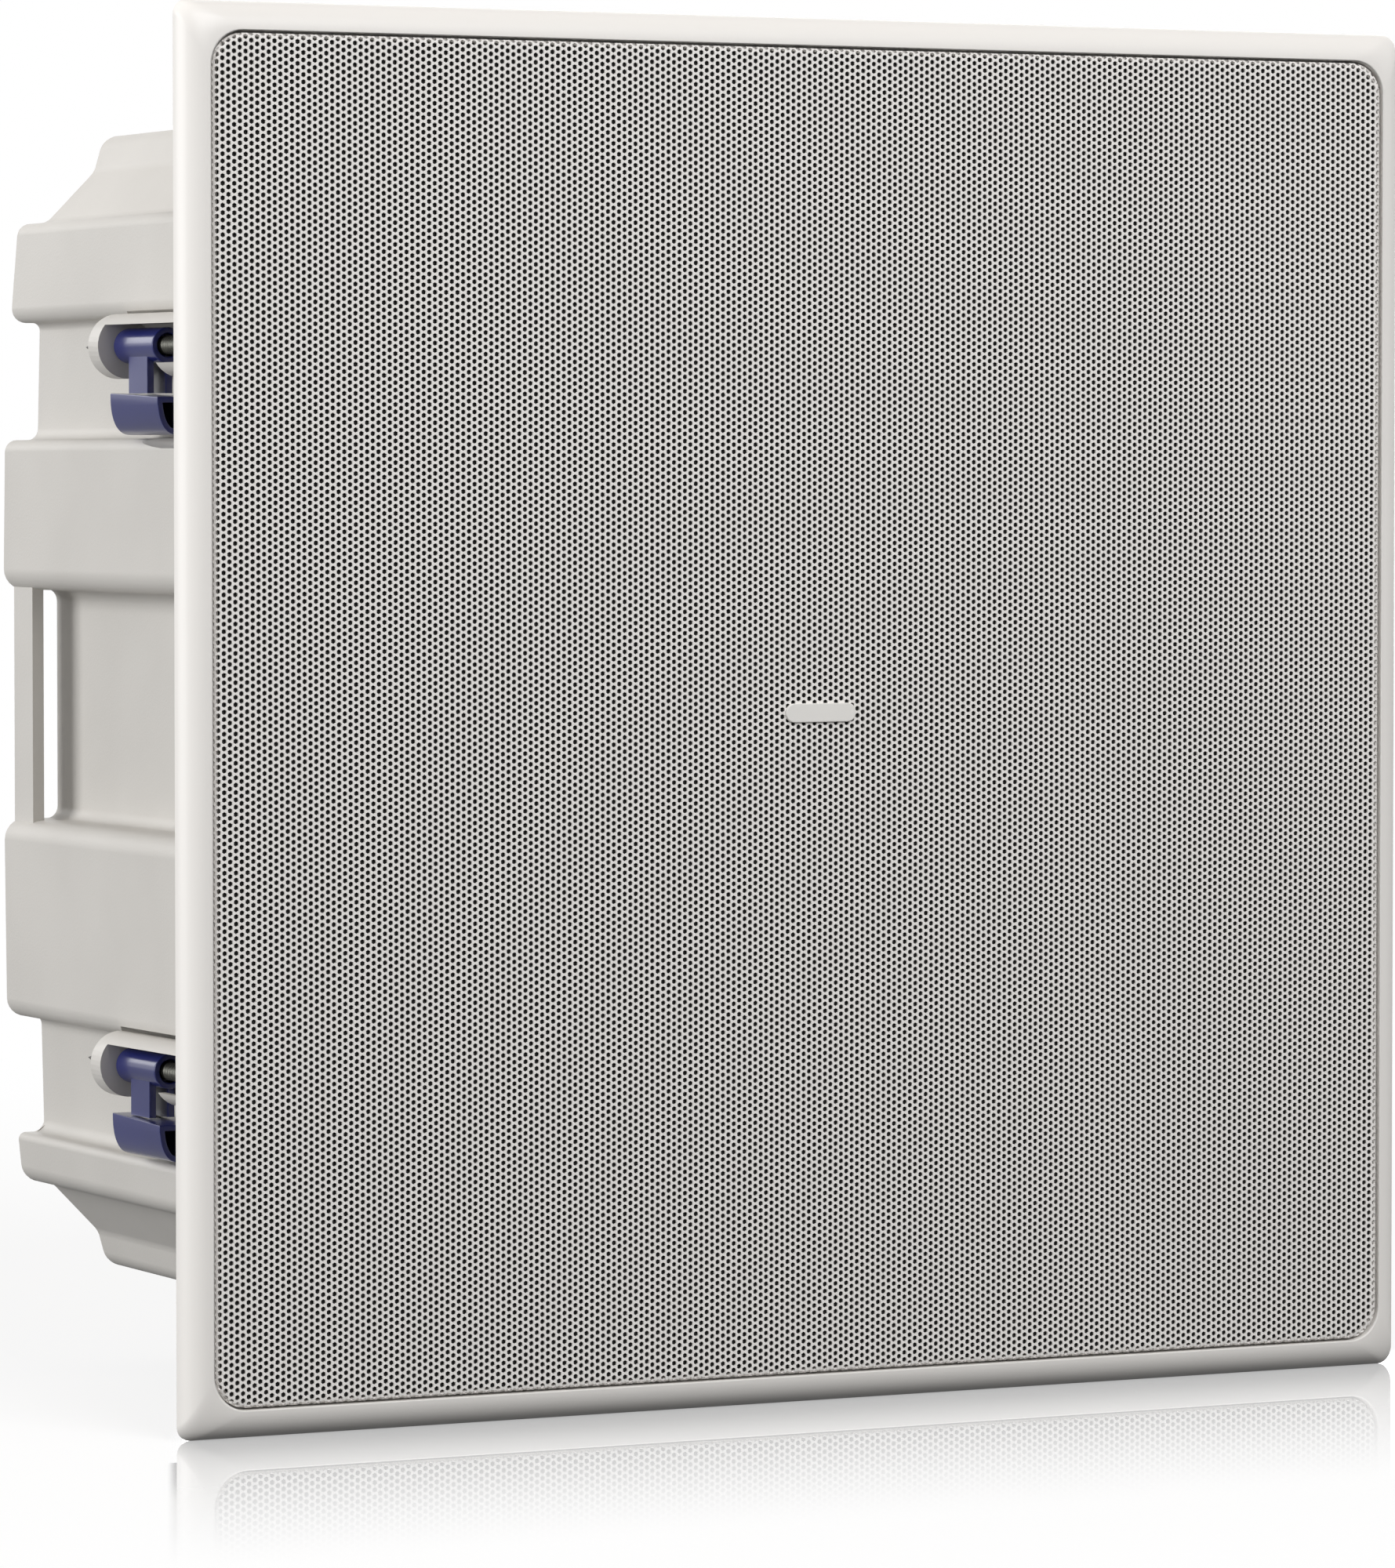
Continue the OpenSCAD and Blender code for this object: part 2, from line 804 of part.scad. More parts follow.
module coil_former() {
    color([0.72, 0.55, 0.30])
        ring(coil_r - 0.5, coil_r, seat_rear - 24, seat_rear + 16);
}

module voice_coil() {
    color([0.72, 0.38, 0.20])
        ring(coil_r, coil_r + 0.7, seat_rear + pole_t / 2 - 7, seat_rear + pole_t / 2 + 7);
}

module top_plate() {
    color([0.55, 0.56, 0.58])
        ring(gap_r, plate_r, seat_rear, seat_rear + pole_t);
}

module magnet_ring() {
    color([0.22, 0.22, 0.24])
        ring(gap_r + 3, magnet_ring_d / 2, seat_rear + pole_t, magnet_rear);
}

module pole_piece() {
    color([0.55, 0.56, 0.58])
        turned() {
            translate([0, magnet_rear])
                square([plate_r, pole_t]);
            translate([0, seat_rear - 1])
                square([pole_r, magnet_rear - seat_rear + 2]);
        }
}

module tweeter_body() {
    color([0.18, 0.18, 0.19])
        turned()
            polygon([
                [0, seat_rear - 22],
                [14, seat_rear - 22],
                [14, seat_rear - 25],
                [pole_r - 6, seat_rear - 25],
                [pole_r - 6, seat_rear - 1],
                [0, seat_rear - 1]
            ]);
}

module tweeter_horn() {
    front = seat_rear - 36;
    rear = seat_rear - 25;
    color([0.14, 0.14, 0.15])
        turned()
            polygon([
                [14.5, rear],
                [15.5, rear - 4],
                [19, rear - 8],
                [pole_r - 2, front],
                [pole_r - 0.6, front],
                [pole_r - 0.6, front + 1],
                [20, rear - 6.5],
                [17, rear - 3.4],
                [16.5, rear]
            ]);
}

module tweeter_dome() {
    r = 17;
    rim = 13.5;
    rise = r - sqrt(r * r - rim * rim);
    color([0.78, 0.78, 0.80])
        turned()
            intersection() {
                difference() {
                    translate([0, seat_rear - 22 - rise + r])
                        circle(r, $fn = 96);
                    translate([0, seat_rear - 22 - rise + r])
                        circle(r - 0.5, $fn = 96);
                }
                translate([0, seat_rear - 22 - rise])
                    square([rim, rise]);
            }
}

module driver_tags() {
    color([0.80, 0.66, 0.32])
        for (s = [-1, 1]) {
            translate([s * 8 - 3, seat_rear, plate_r + 1])
                cube([6, 0.8, 12]);
            translate([s * 8 - 3, seat_rear, plate_r + 12])
                cube([6, 8, 0.8]);
        }
}

module crossover_board() {
    color([0.15, 0.34, 0.22])
        difference() {
            translate([-board_w / 2, board_y, board_z - board_h / 2])
                cube([board_w, 1.6, board_h]);
            for (x = [-1, 1], z = [-1, 1])
                translate([x * (board_w / 2 - 6), 0, board_z + z * (board_h / 2 - 6)])
                    rod(3.5, board_y - 1, board_y + 3);
        }
}

module crossover_coils() {
    color([0.70, 0.36, 0.18])
        for (p = [[-28, 8, 17], [16, 12, 13]])
            translate([p.x, 0, board_z + p.y])
                ring(p.z / 2, p.z, board_y - 14, board_y);
}

module crossover_capacitors() {
    color([0.75, 0.70, 0.30])
        for (p = [[18, -18, 30, 13], [-22, -22, 24, 10]])
            translate([p[0] - p[2] / 2, board_y - p[3] / 2, board_z + p[1]])
                rotate([0, 90, 0])
                    cylinder(d = p[3], h = p[2]);
}

module crossover_screws() {
    color([0.35, 0.35, 0.36])
        for (x = [-1, 1], z = [-1, 1])
            translate([x * (board_w / 2 - 6), 0, board_z + z * (board_h / 2 - 6)])
                pan_screw(3, 5.6, 2, board_y, 8);
}

module terminal_block() {
    color([0.12, 0.12, 0.13])
        difference() {
            translate([-20, box_d - 10, terminal_z - 11])
                cube([40, 11, 22]);
            for (s = [-1, 1]) {
                translate([s * 9, 0, terminal_z - 4])
                    rod(4, box_d - 7, box_d + 2);
                translate([s * 9, 0, terminal_z + 5])
                    rod(5 + 2 * fit_gap, box_d - 6, box_d + 2);
            }
        }
}

module terminal_screws() {
    color([0.65, 0.65, 0.66])
        for (s = [-1, 1])
            translate([s * 9, 0, terminal_z + 5])
                difference() {
                    rod(5, box_d - 6, box_d + 0.4);
                    translate([-3, box_d - 0.8, -0.4])
                        cube([6, 2, 0.8]);
                }
}

// A lead of round wire along a list of points
module lead(d, route) {
    n = len(route);
    polyhedron(
        points = [for (i = [0:n - 1]) each lead_ring(d, route, i)],
        faces = concat(
            [[for (k = [0:7]) k]],
            [for (i = [0:n - 2], k = [0:7]) let (m = (k + 1) % 8)
                [i * 8 + k, i * 8 + 8 + k, i * 8 + 8 + m, i * 8 + m]],
            [[for (k = [7:-1:0]) (n - 1) * 8 + k]]
        )
    );
}

module driver_leads() {
    color([0.70, 0.20, 0.16])
        for (s = [-1, 1])
            lead(2.2, [
                [s * 8, seat_rear + 8, plate_r + 12.4],
                [s * 8, seat_rear + 24, plate_r + 14],
                [s * 8, board_y - 34, board_z - 34],
                [s * 5, board_y - 8, board_z - 29],
                [s * 5, board_y, board_z - 29]
            ]);
}

module input_leads() {
    color([0.12, 0.12, 0.12])
        for (s = [-1, 1])
            lead(2.2, [
                [s * 9, box_d - 10, terminal_z],
                [s * 9, box_d - 14, terminal_z],
                [s * 10, board_y - 8, terminal_z + 12],
                [s * 12, board_y - 8, board_z - 42],
                [s * 12, board_y - 4, board_z - 31],
                [s * 12, board_y, board_z - 31]
            ]);
}

module wadding() {
    color([0.88, 0.88, 0.86])
        for (s = [0, 1])
            mirror([s, 0, 0])
                translate([30, box_d - box_wall - soft_gap - 26, 24 - box_top])
                    cube([mid_x - box_wall - 36, 26, board_z - board_h / 2 - 44 + box_top]);
}

front_frame();
grille();
grille_cloth();
grille_badge();
grille_magnets();
clamp_dog_upper_left();
clamp_dog_lower_left();
clamp_dog_upper_right();
clamp_dog_lower_right();
clamp_screw_upper_left();
clamp_screw_lower_left();
clamp_screw_upper_right();
clamp_screw_lower_right();
back_box();
box_seal();
box_screws();
side_bar_left();
side_bar_right();
driver_gasket();
driver_basket();
driver_screws();
surround();
cone();
spider();
coil_former();
voice_coil();
top_plate();
magnet_ring();
pole_piece();
tweeter_body();
tweeter_horn();
tweeter_dome();
driver_tags();
crossover_board();
crossover_coils();
crossover_capacitors();
crossover_screws();
terminal_block();
terminal_screws();
driver_leads();
input_leads();
wadding();
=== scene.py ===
import bmesh
import bpy
import json
import math
from mathutils import Matrix, Vector

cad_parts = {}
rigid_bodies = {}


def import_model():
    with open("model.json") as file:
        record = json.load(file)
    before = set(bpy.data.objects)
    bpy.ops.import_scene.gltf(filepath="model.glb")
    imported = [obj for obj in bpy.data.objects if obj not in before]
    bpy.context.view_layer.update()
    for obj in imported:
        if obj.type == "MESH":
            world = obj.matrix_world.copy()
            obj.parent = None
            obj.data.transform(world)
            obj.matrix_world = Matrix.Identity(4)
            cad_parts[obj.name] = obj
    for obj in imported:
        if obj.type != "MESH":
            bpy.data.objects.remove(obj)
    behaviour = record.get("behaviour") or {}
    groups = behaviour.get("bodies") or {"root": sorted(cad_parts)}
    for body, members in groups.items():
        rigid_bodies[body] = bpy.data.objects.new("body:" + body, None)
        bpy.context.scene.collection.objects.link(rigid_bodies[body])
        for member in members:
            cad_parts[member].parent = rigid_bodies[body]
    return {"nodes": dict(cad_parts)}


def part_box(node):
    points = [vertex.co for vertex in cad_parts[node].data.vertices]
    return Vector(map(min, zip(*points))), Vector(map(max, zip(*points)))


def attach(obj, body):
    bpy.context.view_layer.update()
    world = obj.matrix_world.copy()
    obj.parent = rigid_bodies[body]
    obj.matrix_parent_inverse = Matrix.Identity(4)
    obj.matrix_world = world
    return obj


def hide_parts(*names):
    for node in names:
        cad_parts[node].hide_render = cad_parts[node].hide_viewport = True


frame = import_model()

# Flush speaker: front faces -Y, Z is up, origin in the middle of the bezel's rear face.
# Sizes in the dictionaries are millimetres unless a note says otherwise.
mm = 0.001
for startup in [o for o in bpy.data.objects if o.name in ("Cube", "Light", "Camera")]:
    bpy.data.objects.remove(startup)
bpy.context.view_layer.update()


def linear(hexColour):
    parts = [int(hexColour[i:i + 2], 16) / 255 for i in (1, 3, 5)]
    return (*[p / 12.92 if p <= 0.04045 else ((p + 0.055) / 1.055) ** 2.4 for p in parts], 1)


def addNode(tree, kind, inputs=None, **settings):
    node = tree.nodes.new("ShaderNode" + kind)
    for key, value in settings.items():
        setattr(node, key, value)
    for key, value in (inputs or {}).items():
        if isinstance(value, bpy.types.NodeSocket):
            tree.links.new(value, node.inputs[key])
        else:
            node.inputs[key].default_value = value
    return node


def newMaterial(name, shaderInputs):
    material = bpy.data.materials.new(name)
    material.use_nodes = True
    tree = material.node_tree
    tree.nodes.clear()
    shader = addNode(tree, "BsdfPrincipled", shaderInputs)
    addNode(tree, "OutputMaterial", {"Surface": shader.outputs[0]})
    place = addNode(tree, "TexCoord").outputs["Object"]
    return material, tree, shader, place


def tint(tree, shader, factor, darkHex, paleHex, low=0.35, high=0.65):
    ramp = addNode(tree, "ValToRGB", {"Fac": factor})
    ramp.color_ramp.elements[0].position = low
    ramp.color_ramp.elements[0].color = linear(darkHex)
    ramp.color_ramp.elements[1].position = high
    ramp.color_ramp.elements[1].color = linear(paleHex)
    tree.links.new(ramp.outputs["Color"], shader.inputs["Base Color"])


def relief(tree, shader, height, depth):
    bump = addNode(tree, "Bump", {"Height": height, "Distance": depth * mm, "Strength": 1.0})
    tree.links.new(bump.outputs["Normal"], shader.inputs["Normal"])


def onePerSize(size):
    # scale of a noise or cell pattern whose spots are size millimetres across
    return 1 / (size * mm)


def onePerRidge(step):
    # scale of a wave texture that draws one ridge in every step millimetres
    return 2 * math.pi / (20 * step * mm)


# Finishes: sizes and depths of their patterns are millimetres
flowCloud = 45.0


def mouldedPlastic(name, darkHex, paleHex, roughness, grain, depth, coat=0.0):
    # injection-moulded: even colour with faint flow clouds, and spark-eroded grain from the
    # tool, which is drawn about three times too coarse so that it shows
    material, tree, shader, place = newMaterial(name, {
        "Roughness": roughness, "IOR": 1.5, "Coat Weight": coat, "Coat Roughness": 0.15})
    cloud = addNode(tree, "TexNoise", {"Vector": place, "Scale": onePerSize(flowCloud),
                                       "Detail": 2.0})
    tint(tree, shader, cloud.outputs["Fac"], darkHex, paleHex)
    eroded = addNode(tree, "TexNoise", {"Vector": place, "Scale": onePerSize(grain),
                                        "Detail": 3.0})
    gloss = addNode(tree, "MapRange", {"Value": eroded.outputs["Fac"], "To Min": roughness - 0.05,
                                       "To Max": roughness + 0.05})
    tree.links.new(gloss.outputs["Result"], shader.inputs["Roughness"])
    relief(tree, shader, eroded.outputs["Fac"], depth)
    return material


lacquer = {"edge": 2.0, "speckle": 0.8, "drift": 1.6, "blend": 1.2, "grain": 0.55, "depth": 0.014}


def lacqueredFront(name, whiteHex, darkHex, paleHex):
    # grey moulded ABS whose front was sprayed satin white: the spray thins out just behind
    # the bezel, and the grain under it is drawn about three times too coarse
    material, tree, shader, place = newMaterial(name, {
        "Roughness": 0.42, "IOR": 1.5, "Coat Weight": 0.1, "Coat Roughness": 0.2})
    cloud = addNode(tree, "TexNoise", {"Vector": place, "Scale": onePerSize(flowCloud),
                                       "Detail": 2.0})
    tint(tree, shader, cloud.outputs["Fac"], darkHex, paleHex)
    bare = shader.inputs["Base Color"].links[0].from_socket
    split = addNode(tree, "SeparateXYZ", {0: place})
    mist = addNode(tree, "TexNoise", {"Vector": place, "Scale": onePerSize(lacquer["speckle"]),
                                      "Detail": 2.0})
    reach = addNode(tree, "Math", {0: mist.outputs["Fac"], 1: lacquer["drift"] * mm,
                                   2: split.outputs["Y"]}, operation="MULTIPLY_ADD")
    behind = addNode(tree, "MapRange", {
        "Value": reach.outputs[0], "From Min": lacquer["edge"] * mm,
        "From Max": (lacquer["edge"] + lacquer["blend"]) * mm})
    colour = addNode(tree, "Mix", {"Factor": behind.outputs["Result"], 6: linear(whiteHex),
                                   7: bare}, data_type="RGBA")
    tree.links.new(colour.outputs[2], shader.inputs["Base Color"])
    eroded = addNode(tree, "TexNoise", {"Vector": place, "Scale": onePerSize(lacquer["grain"]),
                                        "Detail": 3.0})
    relief(tree, shader, eroded.outputs["Fac"], lacquer["depth"])
    return material


def coatedSteel(name, darkHex, paleHex, roughness, metallic, peel, depth):
    # powder coat or plating: slight orange peel where the film flowed
    material, tree, shader, place = newMaterial(name, {
        "Roughness": roughness, "Metallic": metallic})
    film = addNode(tree, "TexNoise", {"Vector": place, "Scale": onePerSize(peel), "Detail": 2.0})
    tint(tree, shader, film.outputs["Fac"], darkHex, paleHex, 0.3, 0.7)
    relief(tree, shader, film.outputs["Fac"], depth)
    return material


def turnedMetal(name, darkHex, paleHex, roughness, lay, depth=0.01):
    # lathe-turned or spun: fine rings about the speaker's axis, drawn a few times too coarse
    material, tree, shader, place = newMaterial(name, {"Roughness": roughness, "Metallic": 1.0})
    across = addNode(tree, "VectorMath", {0: place, 1: (1.0, 0.0, 1.0)}, operation="MULTIPLY")
    radius = addNode(tree, "VectorMath", {0: across.outputs["Vector"]}, operation="LENGTH")
    tool = addNode(tree, "CombineXYZ", {"X": radius.outputs["Value"]})
    rings = addNode(tree, "TexNoise", {"Vector": tool.outputs["Vector"],
                                       "Scale": onePerSize(lay), "Detail": 3.0})
    tint(tree, shader, rings.outputs["Fac"], darkHex, paleHex)
    relief(tree, shader, rings.outputs["Fac"], depth)
    return material


def wound(name, darkHex, paleHex, roughness, wire, axis, metallic=0.0):
    # enamelled wire or a rolled body: one shallow round ridge for each turn along the axis, with a
    # painted highlight on its crest and painted shade in the groove
    material, tree, shader, place = newMaterial(name, {
        "Roughness": roughness, "Metallic": metallic, "Coat Weight": 0.4})
    turns = addNode(tree, "TexWave", {"Vector": place, "Scale": onePerRidge(wire)},
                    wave_type="BANDS", bands_direction=axis, wave_profile="SIN")
    # colour: painted highlight on each crest and painted shade in each groove between turns
    tint(tree, shader, turns.outputs["Fac"], darkHex, paleHex, 0.1, 0.8)
    relief(tree, shader, turns.outputs["Fac"], wire / 4)
    return material


def wovenCloth(name, darkHex, paleHex, thread, depth):
    # plain-woven cloth: warp and weft cross at each thread, and the gaps between them are painted
    # darkest as shade;
    # the threads are drawn about twice too coarse
    material, tree, shader, place = newMaterial(name, {"Roughness": 0.9, "Sheen Weight": 0.3})
    warp = addNode(tree, "TexWave", {"Vector": place, "Scale": onePerRidge(thread)},
                   wave_type="BANDS", bands_direction="X", wave_profile="SIN")
    weft = addNode(tree, "TexWave", {"Vector": place, "Scale": onePerRidge(thread)},
                   wave_type="BANDS", bands_direction="Z", wave_profile="SIN")
    weaveAndGapShade = addNode(tree, "Math", {0: warp.outputs["Fac"], 1: weft.outputs["Fac"]},
                    operation="MULTIPLY")
    # colour: paler on the threads, with painted shade in the gaps between them
    tint(tree, shader, weaveAndGapShade.outputs[0], darkHex, paleHex, 0.1, 0.7)
    relief(tree, shader, weaveAndGapShade.outputs[0], depth)
    return material


def fibrous(name, darkHex, paleHex, roughness, fibre, depth, stretch=(1, 1, 1), sheen=0.0):
    # felted, pulped or foamed: fibres or cells lie at random, and are drawn 2 to 3 times too coarse
    material, tree, shader, place = newMaterial(name, {
        "Roughness": roughness, "Sheen Weight": sheen})
    lay = addNode(tree, "Mapping", {"Vector": place, "Scale": stretch})
    cells = addNode(tree, "TexVoronoi", {"Vector": lay.outputs["Vector"],
                                         "Scale": onePerSize(fibre)}, feature="F1")
    mat = addNode(tree, "TexNoise", {"Vector": lay.outputs["Vector"],
                                     "Scale": 0.3 * onePerSize(fibre), "Detail": 4.0})
    both = addNode(tree, "Math", {0: cells.outputs["Distance"], 1: mat.outputs["Fac"]},
                   operation="MULTIPLY")
    tint(tree, shader, both.outputs[0], darkHex, paleHex, 0.1, 0.5)
    relief(tree, shader, both.outputs[0], depth)
    return material


finishes = {
    "frameAbs": lacqueredFront("white lacquer on moulded ABS", "#EFECE8", "#CFCCC7", "#D4D1CC"),
    "boxAbs": mouldedPlastic("light grey textured ABS", "#CECBC6", "#D3D0CB", 0.5, 0.7, 0.06),
    "barAbs": mouldedPlastic("light grey moulded ABS bar", "#CBC8C3", "#CFCCC7", 0.48, 0.6, 0.02),
    "clampNylon": mouldedPlastic("dark blue glass-filled nylon", "#181F5E", "#1D256C", 0.3, 0.4,
                                 0.006, 0.55),
    "badgePlastic": mouldedPlastic("pale grey satin polycarbonate", "#EAE8E4", "#EEECE8", 0.35,
                                   0.3, 0.004),
    "blackNylon": mouldedPlastic("black moulded nylon", "#141415", "#1C1C1E", 0.45, 0.5, 0.02),
    "hornPlastic": mouldedPlastic("black horn ABS", "#161617", "#1B1B1D", 0.38, 0.5, 0.01),
    "grilleCoat": coatedSteel("white powder-coated steel", "#F2EFEB", "#F6F3F0", 0.5, 0.0, 1.0,
                              0.012),
    "basketCoat": coatedSteel("black powder-coated steel", "#232325", "#2B2B2E", 0.45, 0.0, 1.0,
                              0.03),
    "screwSteel": coatedSteel("black-oxide steel", "#4A4A45", "#5C5C56", 0.45, 0.7, 0.8, 0.01),
    "brightSteel": coatedSteel("bright zinc-plated steel", "#9D9EA0", "#B9BABC", 0.3, 1.0, 1.5,
                               0.008),
    "magnetNickel": coatedSteel("nickel-plated magnet", "#A9A59C", "#BDB9B0", 0.22, 1.0, 2.0, 0.003),
    "ferrite": coatedSteel("sintered ferrite", "#29292B", "#343437", 0.6, 0.0, 0.5, 0.03),
    "poleSteel": turnedMetal("zinc-plated turned steel", "#8E9093", "#A6A8AB", 0.35, 0.4),
    "domeMetal": turnedMetal("spun aluminium dome", "#B4B6B9", "#C6C8CB", 0.3, 0.3, 0.004),
    "tagBrass": coatedSteel("tinned brass tag", "#A08544", "#BFA25E", 0.32, 1.0, 1.0, 0.006),
    # wound finishes: the paler and darker colour of each pair are painted highlight on the crests
    # and painted shade in the grooves
    "coilCopper": wound("enamelled copper voice coil", "#7A3A1B", "#B4622F", 0.3, 0.35, "Y", 0.8),
    "chokeCopper": wound("enamelled copper choke", "#6F3416", "#B0602E", 0.3, 0.9, "Y", 0.8),
    "capacitorFilm": wound("yellow polyester film capacitor", "#B49A2E", "#C7AE42", 0.35, 6.0, "X"),
    "formerKapton": wound("amber polyimide former", "#8E5312", "#A8671C", 0.3, 2.0, "Y"),
    # woven cloths: the darker colour of each pair is painted shade in the gaps between threads
    "spiderCotton": wovenCloth("resin-treated cotton spider", "#8F7440", "#C4A468", 0.8, 0.15),
    "scrimCloth": wovenCloth("black acoustic scrim", "#0C0C0C", "#242424", 0.8, 0.1),
    "paperCone": fibrous("black pulped paper cone", "#19191A", "#2C2C2E", 0.75, 0.9, 0.06),
    "sealFoam": fibrous("black closed-cell foam", "#121212", "#232323", 0.85, 0.7, 0.08),
    "surroundRubber": mouldedPlastic("black nitrile rubber", "#131314", "#19191A", 0.55, 0.8, 0.01),
    "waddingFibre": fibrous("white polyester wadding", "#BDBDB8", "#F0F0EC", 0.95, 2.5, 0.8,
                            (1, 3, 1), 0.5),
    "boardLaminate": mouldedPlastic("green glass-epoxy laminate", "#1C4A2C", "#245A37", 0.3, 0.9,
                                    0.01, 0.4),
    "redPvc": mouldedPlastic("red PVC lead", "#8E1B18", "#A12521", 0.4, 0.8, 0.006),
    "blackPvc": mouldedPlastic("black PVC lead", "#161616", "#202020", 0.4, 0.8, 0.006),
}

nodeFinish = {
    "grille_magnets": "magnetNickel", "box_seal": "sealFoam",
    "box_screws": "screwSteel", "driver_gasket": "sealFoam", "driver_basket": "basketCoat",
    "driver_screws": "screwSteel", "surround": "surroundRubber", "cone": "paperCone",
    "spider": "spiderCotton", "coil_former": "formerKapton", "voice_coil": "coilCopper",
    "top_plate": "poleSteel", "magnet_ring": "ferrite", "pole_piece": "poleSteel",
    "tweeter_body": "blackNylon", "tweeter_horn": "hornPlastic", "tweeter_dome": "domeMetal",
    "driver_tags": "tagBrass", "crossover_board": "boardLaminate", "crossover_coils": "chokeCopper",
    "crossover_capacitors": "capacitorFilm", "crossover_screws": "brightSteel",
    "terminal_block": "blackNylon", "terminal_screws": "brightSteel", "driver_leads": "redPvc",
    "input_leads": "blackPvc",
}
for nodeName, finish in nodeFinish.items():
    node = frame["nodes"][nodeName]
    node.data.materials.clear()
    node.data.materials.append(finishes[finish])
print("finishes made:", len(finishes))


# Putting a finished bmesh in the scene
def keep(bm, name, finish, body, stands=(), crease=32, evenFlats=True):
    bmesh.ops.remove_doubles(bm, verts=bm.verts, dist=0.002 * mm)
    mesh = bpy.data.meshes.new(name)
    bm.to_mesh(mesh)
    bm.free()
    mesh.shade_smooth()
    mesh.set_sharp_from_angle(angle=math.radians(crease))
    mesh.materials.append(finishes[finish])
    piece = bpy.data.objects.new(name, mesh)
    bpy.context.scene.collection.objects.link(piece)
    if evenFlats:  # flats stay flat beside their rounded edges
        even = piece.modifiers.new("evenFlats", "WEIGHTED_NORMAL")
        even.keep_sharp = True
    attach(piece, body)
    if stands:
        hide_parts(*stands)
    return piece


def pointOutwards(bm):
    bmesh.ops.remove_doubles(bm, verts=bm.verts, dist=0.001 * mm)
    bmesh.ops.recalc_face_normals(bm, faces=bm.faces)


def roundEdges(bm, edges, offset, segments):
    bmesh.ops.bevel(bm, geom=edges, offset=offset * mm, offset_type="OFFSET", segments=segments,
                    profile=0.5, affect="EDGES", clamp_overlap=True, material=-1)


def roundCorner(bm, vert, radius, segments, share):
    # vertex bevels are set by how far they reach along the edges
    a, b = [(e.other_vert(vert).co - vert.co) for e in vert.link_edges[:2]]
    half = (math.pi - a.angle(b)) / 2
    reach = min(radius * mm * math.tan(half), share * min(a.length, b.length))
    bmesh.ops.bevel(bm, geom=[vert], offset=reach, offset_type="OFFSET", segments=segments,
                    profile=0.5, affect="VERTICES", material=-1)


def flatShape(bm, corners, y, segments=6, share=0.4999):
    # corners: [x, z, radius]; gives one flat face at depth y with its corners rounded,
    # each of which may take up its share of the shorter edge beside it
    verts = [bm.verts.new((x * mm, y * mm, z * mm)) for x, z, r in corners]
    bm.faces.new(verts)
    for vert, corner in zip(verts, corners):
        if corner[2] > 0:
            roundCorner(bm, vert, corner[2], segments, share)
    bm.faces.ensure_lookup_table()
    return bm.faces[-1]


def roundedSquare(half, radius):
    return [[-half, -half, radius], [half, -half, radius], [half, half, radius],
            [-half, half, radius]]


def thicken(bm, face, depth):
    made = bmesh.ops.extrude_face_region(bm, geom=[face])["geom"]
    top = [g for g in made if isinstance(g, bmesh.types.BMVert)]
    bmesh.ops.translate(bm, verts=top, vec=(0, depth * mm, 0))
    return [g for g in made if isinstance(g, bmesh.types.BMFace)][0]


def turn(bm, profile, steps, centre=(0, 0, 0)):
    # profile: [radius, depth] points, turned round an axis along Y
    verts = [bm.verts.new((centre[0] + r * mm, centre[1] + y * mm, centre[2])) for r, y in profile]
    edges = [bm.edges.new(pair) for pair in zip(verts, verts[1:])]
    bmesh.ops.spin(bm, geom=verts + edges, cent=centre, axis=(0, 1, 0), angle=2 * math.pi,
                   steps=steps, use_merge=True)


def join(bm, other):
    # adds the other bmesh's faces to bm
    carrier = bpy.data.meshes.new("carrier")
    other.to_mesh(carrier)
    other.free()
    bm.from_mesh(carrier)
    bpy.data.meshes.remove(carrier)


def cutAway(bm, cutter):
    # takes the cutter's volume out of bm with the Boolean modifier, and gives the new bmesh
    carriers = []
    for source in (bm, cutter):
        mesh = bpy.data.meshes.new("carrier")
        source.to_mesh(mesh)
        source.free()
        carriers.append(bpy.data.objects.new("carrier", mesh))
        bpy.context.scene.collection.objects.link(carriers[-1])
    cut = carriers[0].modifiers.new("cut", "BOOLEAN")
    cut.operation = "DIFFERENCE"
    cut.solver = "EXACT"
    cut.object = carriers[1]
    left = bmesh.new()
    left.from_object(carriers[0], bpy.context.evaluated_depsgraph_get())
    if len(left.faces) < len(carriers[0].data.polygons) / 2:  # a lost shell is worse than no cut
        left.clear()
        left.from_mesh(carriers[0].data)
    for carrier in carriers:
        bpy.data.meshes.remove(carrier.data)
    return left


def addBlock(bm, low, high):
    made = bmesh.ops.create_cube(bm, size=1)["verts"]
    low, high = Vector(low) * mm, Vector(high) * mm
    bmesh.ops.scale(bm, verts=made, vec=high - low)
    bmesh.ops.translate(bm, verts=made, vec=(low + high) / 2)


# Grille: perforated steel, bent round its rim
# Its holes are six-sided, and their walls are drawn as deep as the eye sees into them
grille = {
    "front": -7.0, "half": 188.1, "corner": 9.4, "bend": 1.2, "edge": 5.0,
    "pitch": 2.0, "hole": 1.56, "punched": 0.55, "strips": 6, "margin": 1.0,
    "hemInset": 0.06, "hemLap": 0.5, "hemThick": 0.9,
}


def rimDistance(x, z, half, corner):
    qx, qz = abs(x) - (half - corner), abs(z) - (half - corner)
    out = math.hypot(max(qx, 0), max(qz, 0)) + min(max(qx, qz), 0) - corner
    if qx > 0 and qz > 0:
        away = Vector((qx, qz)).normalized()
    else:
        away = Vector((1, 0)) if qx > qz else Vector((0, 1))
    return out, math.copysign(away.x, x), math.copysign(away.y, z)


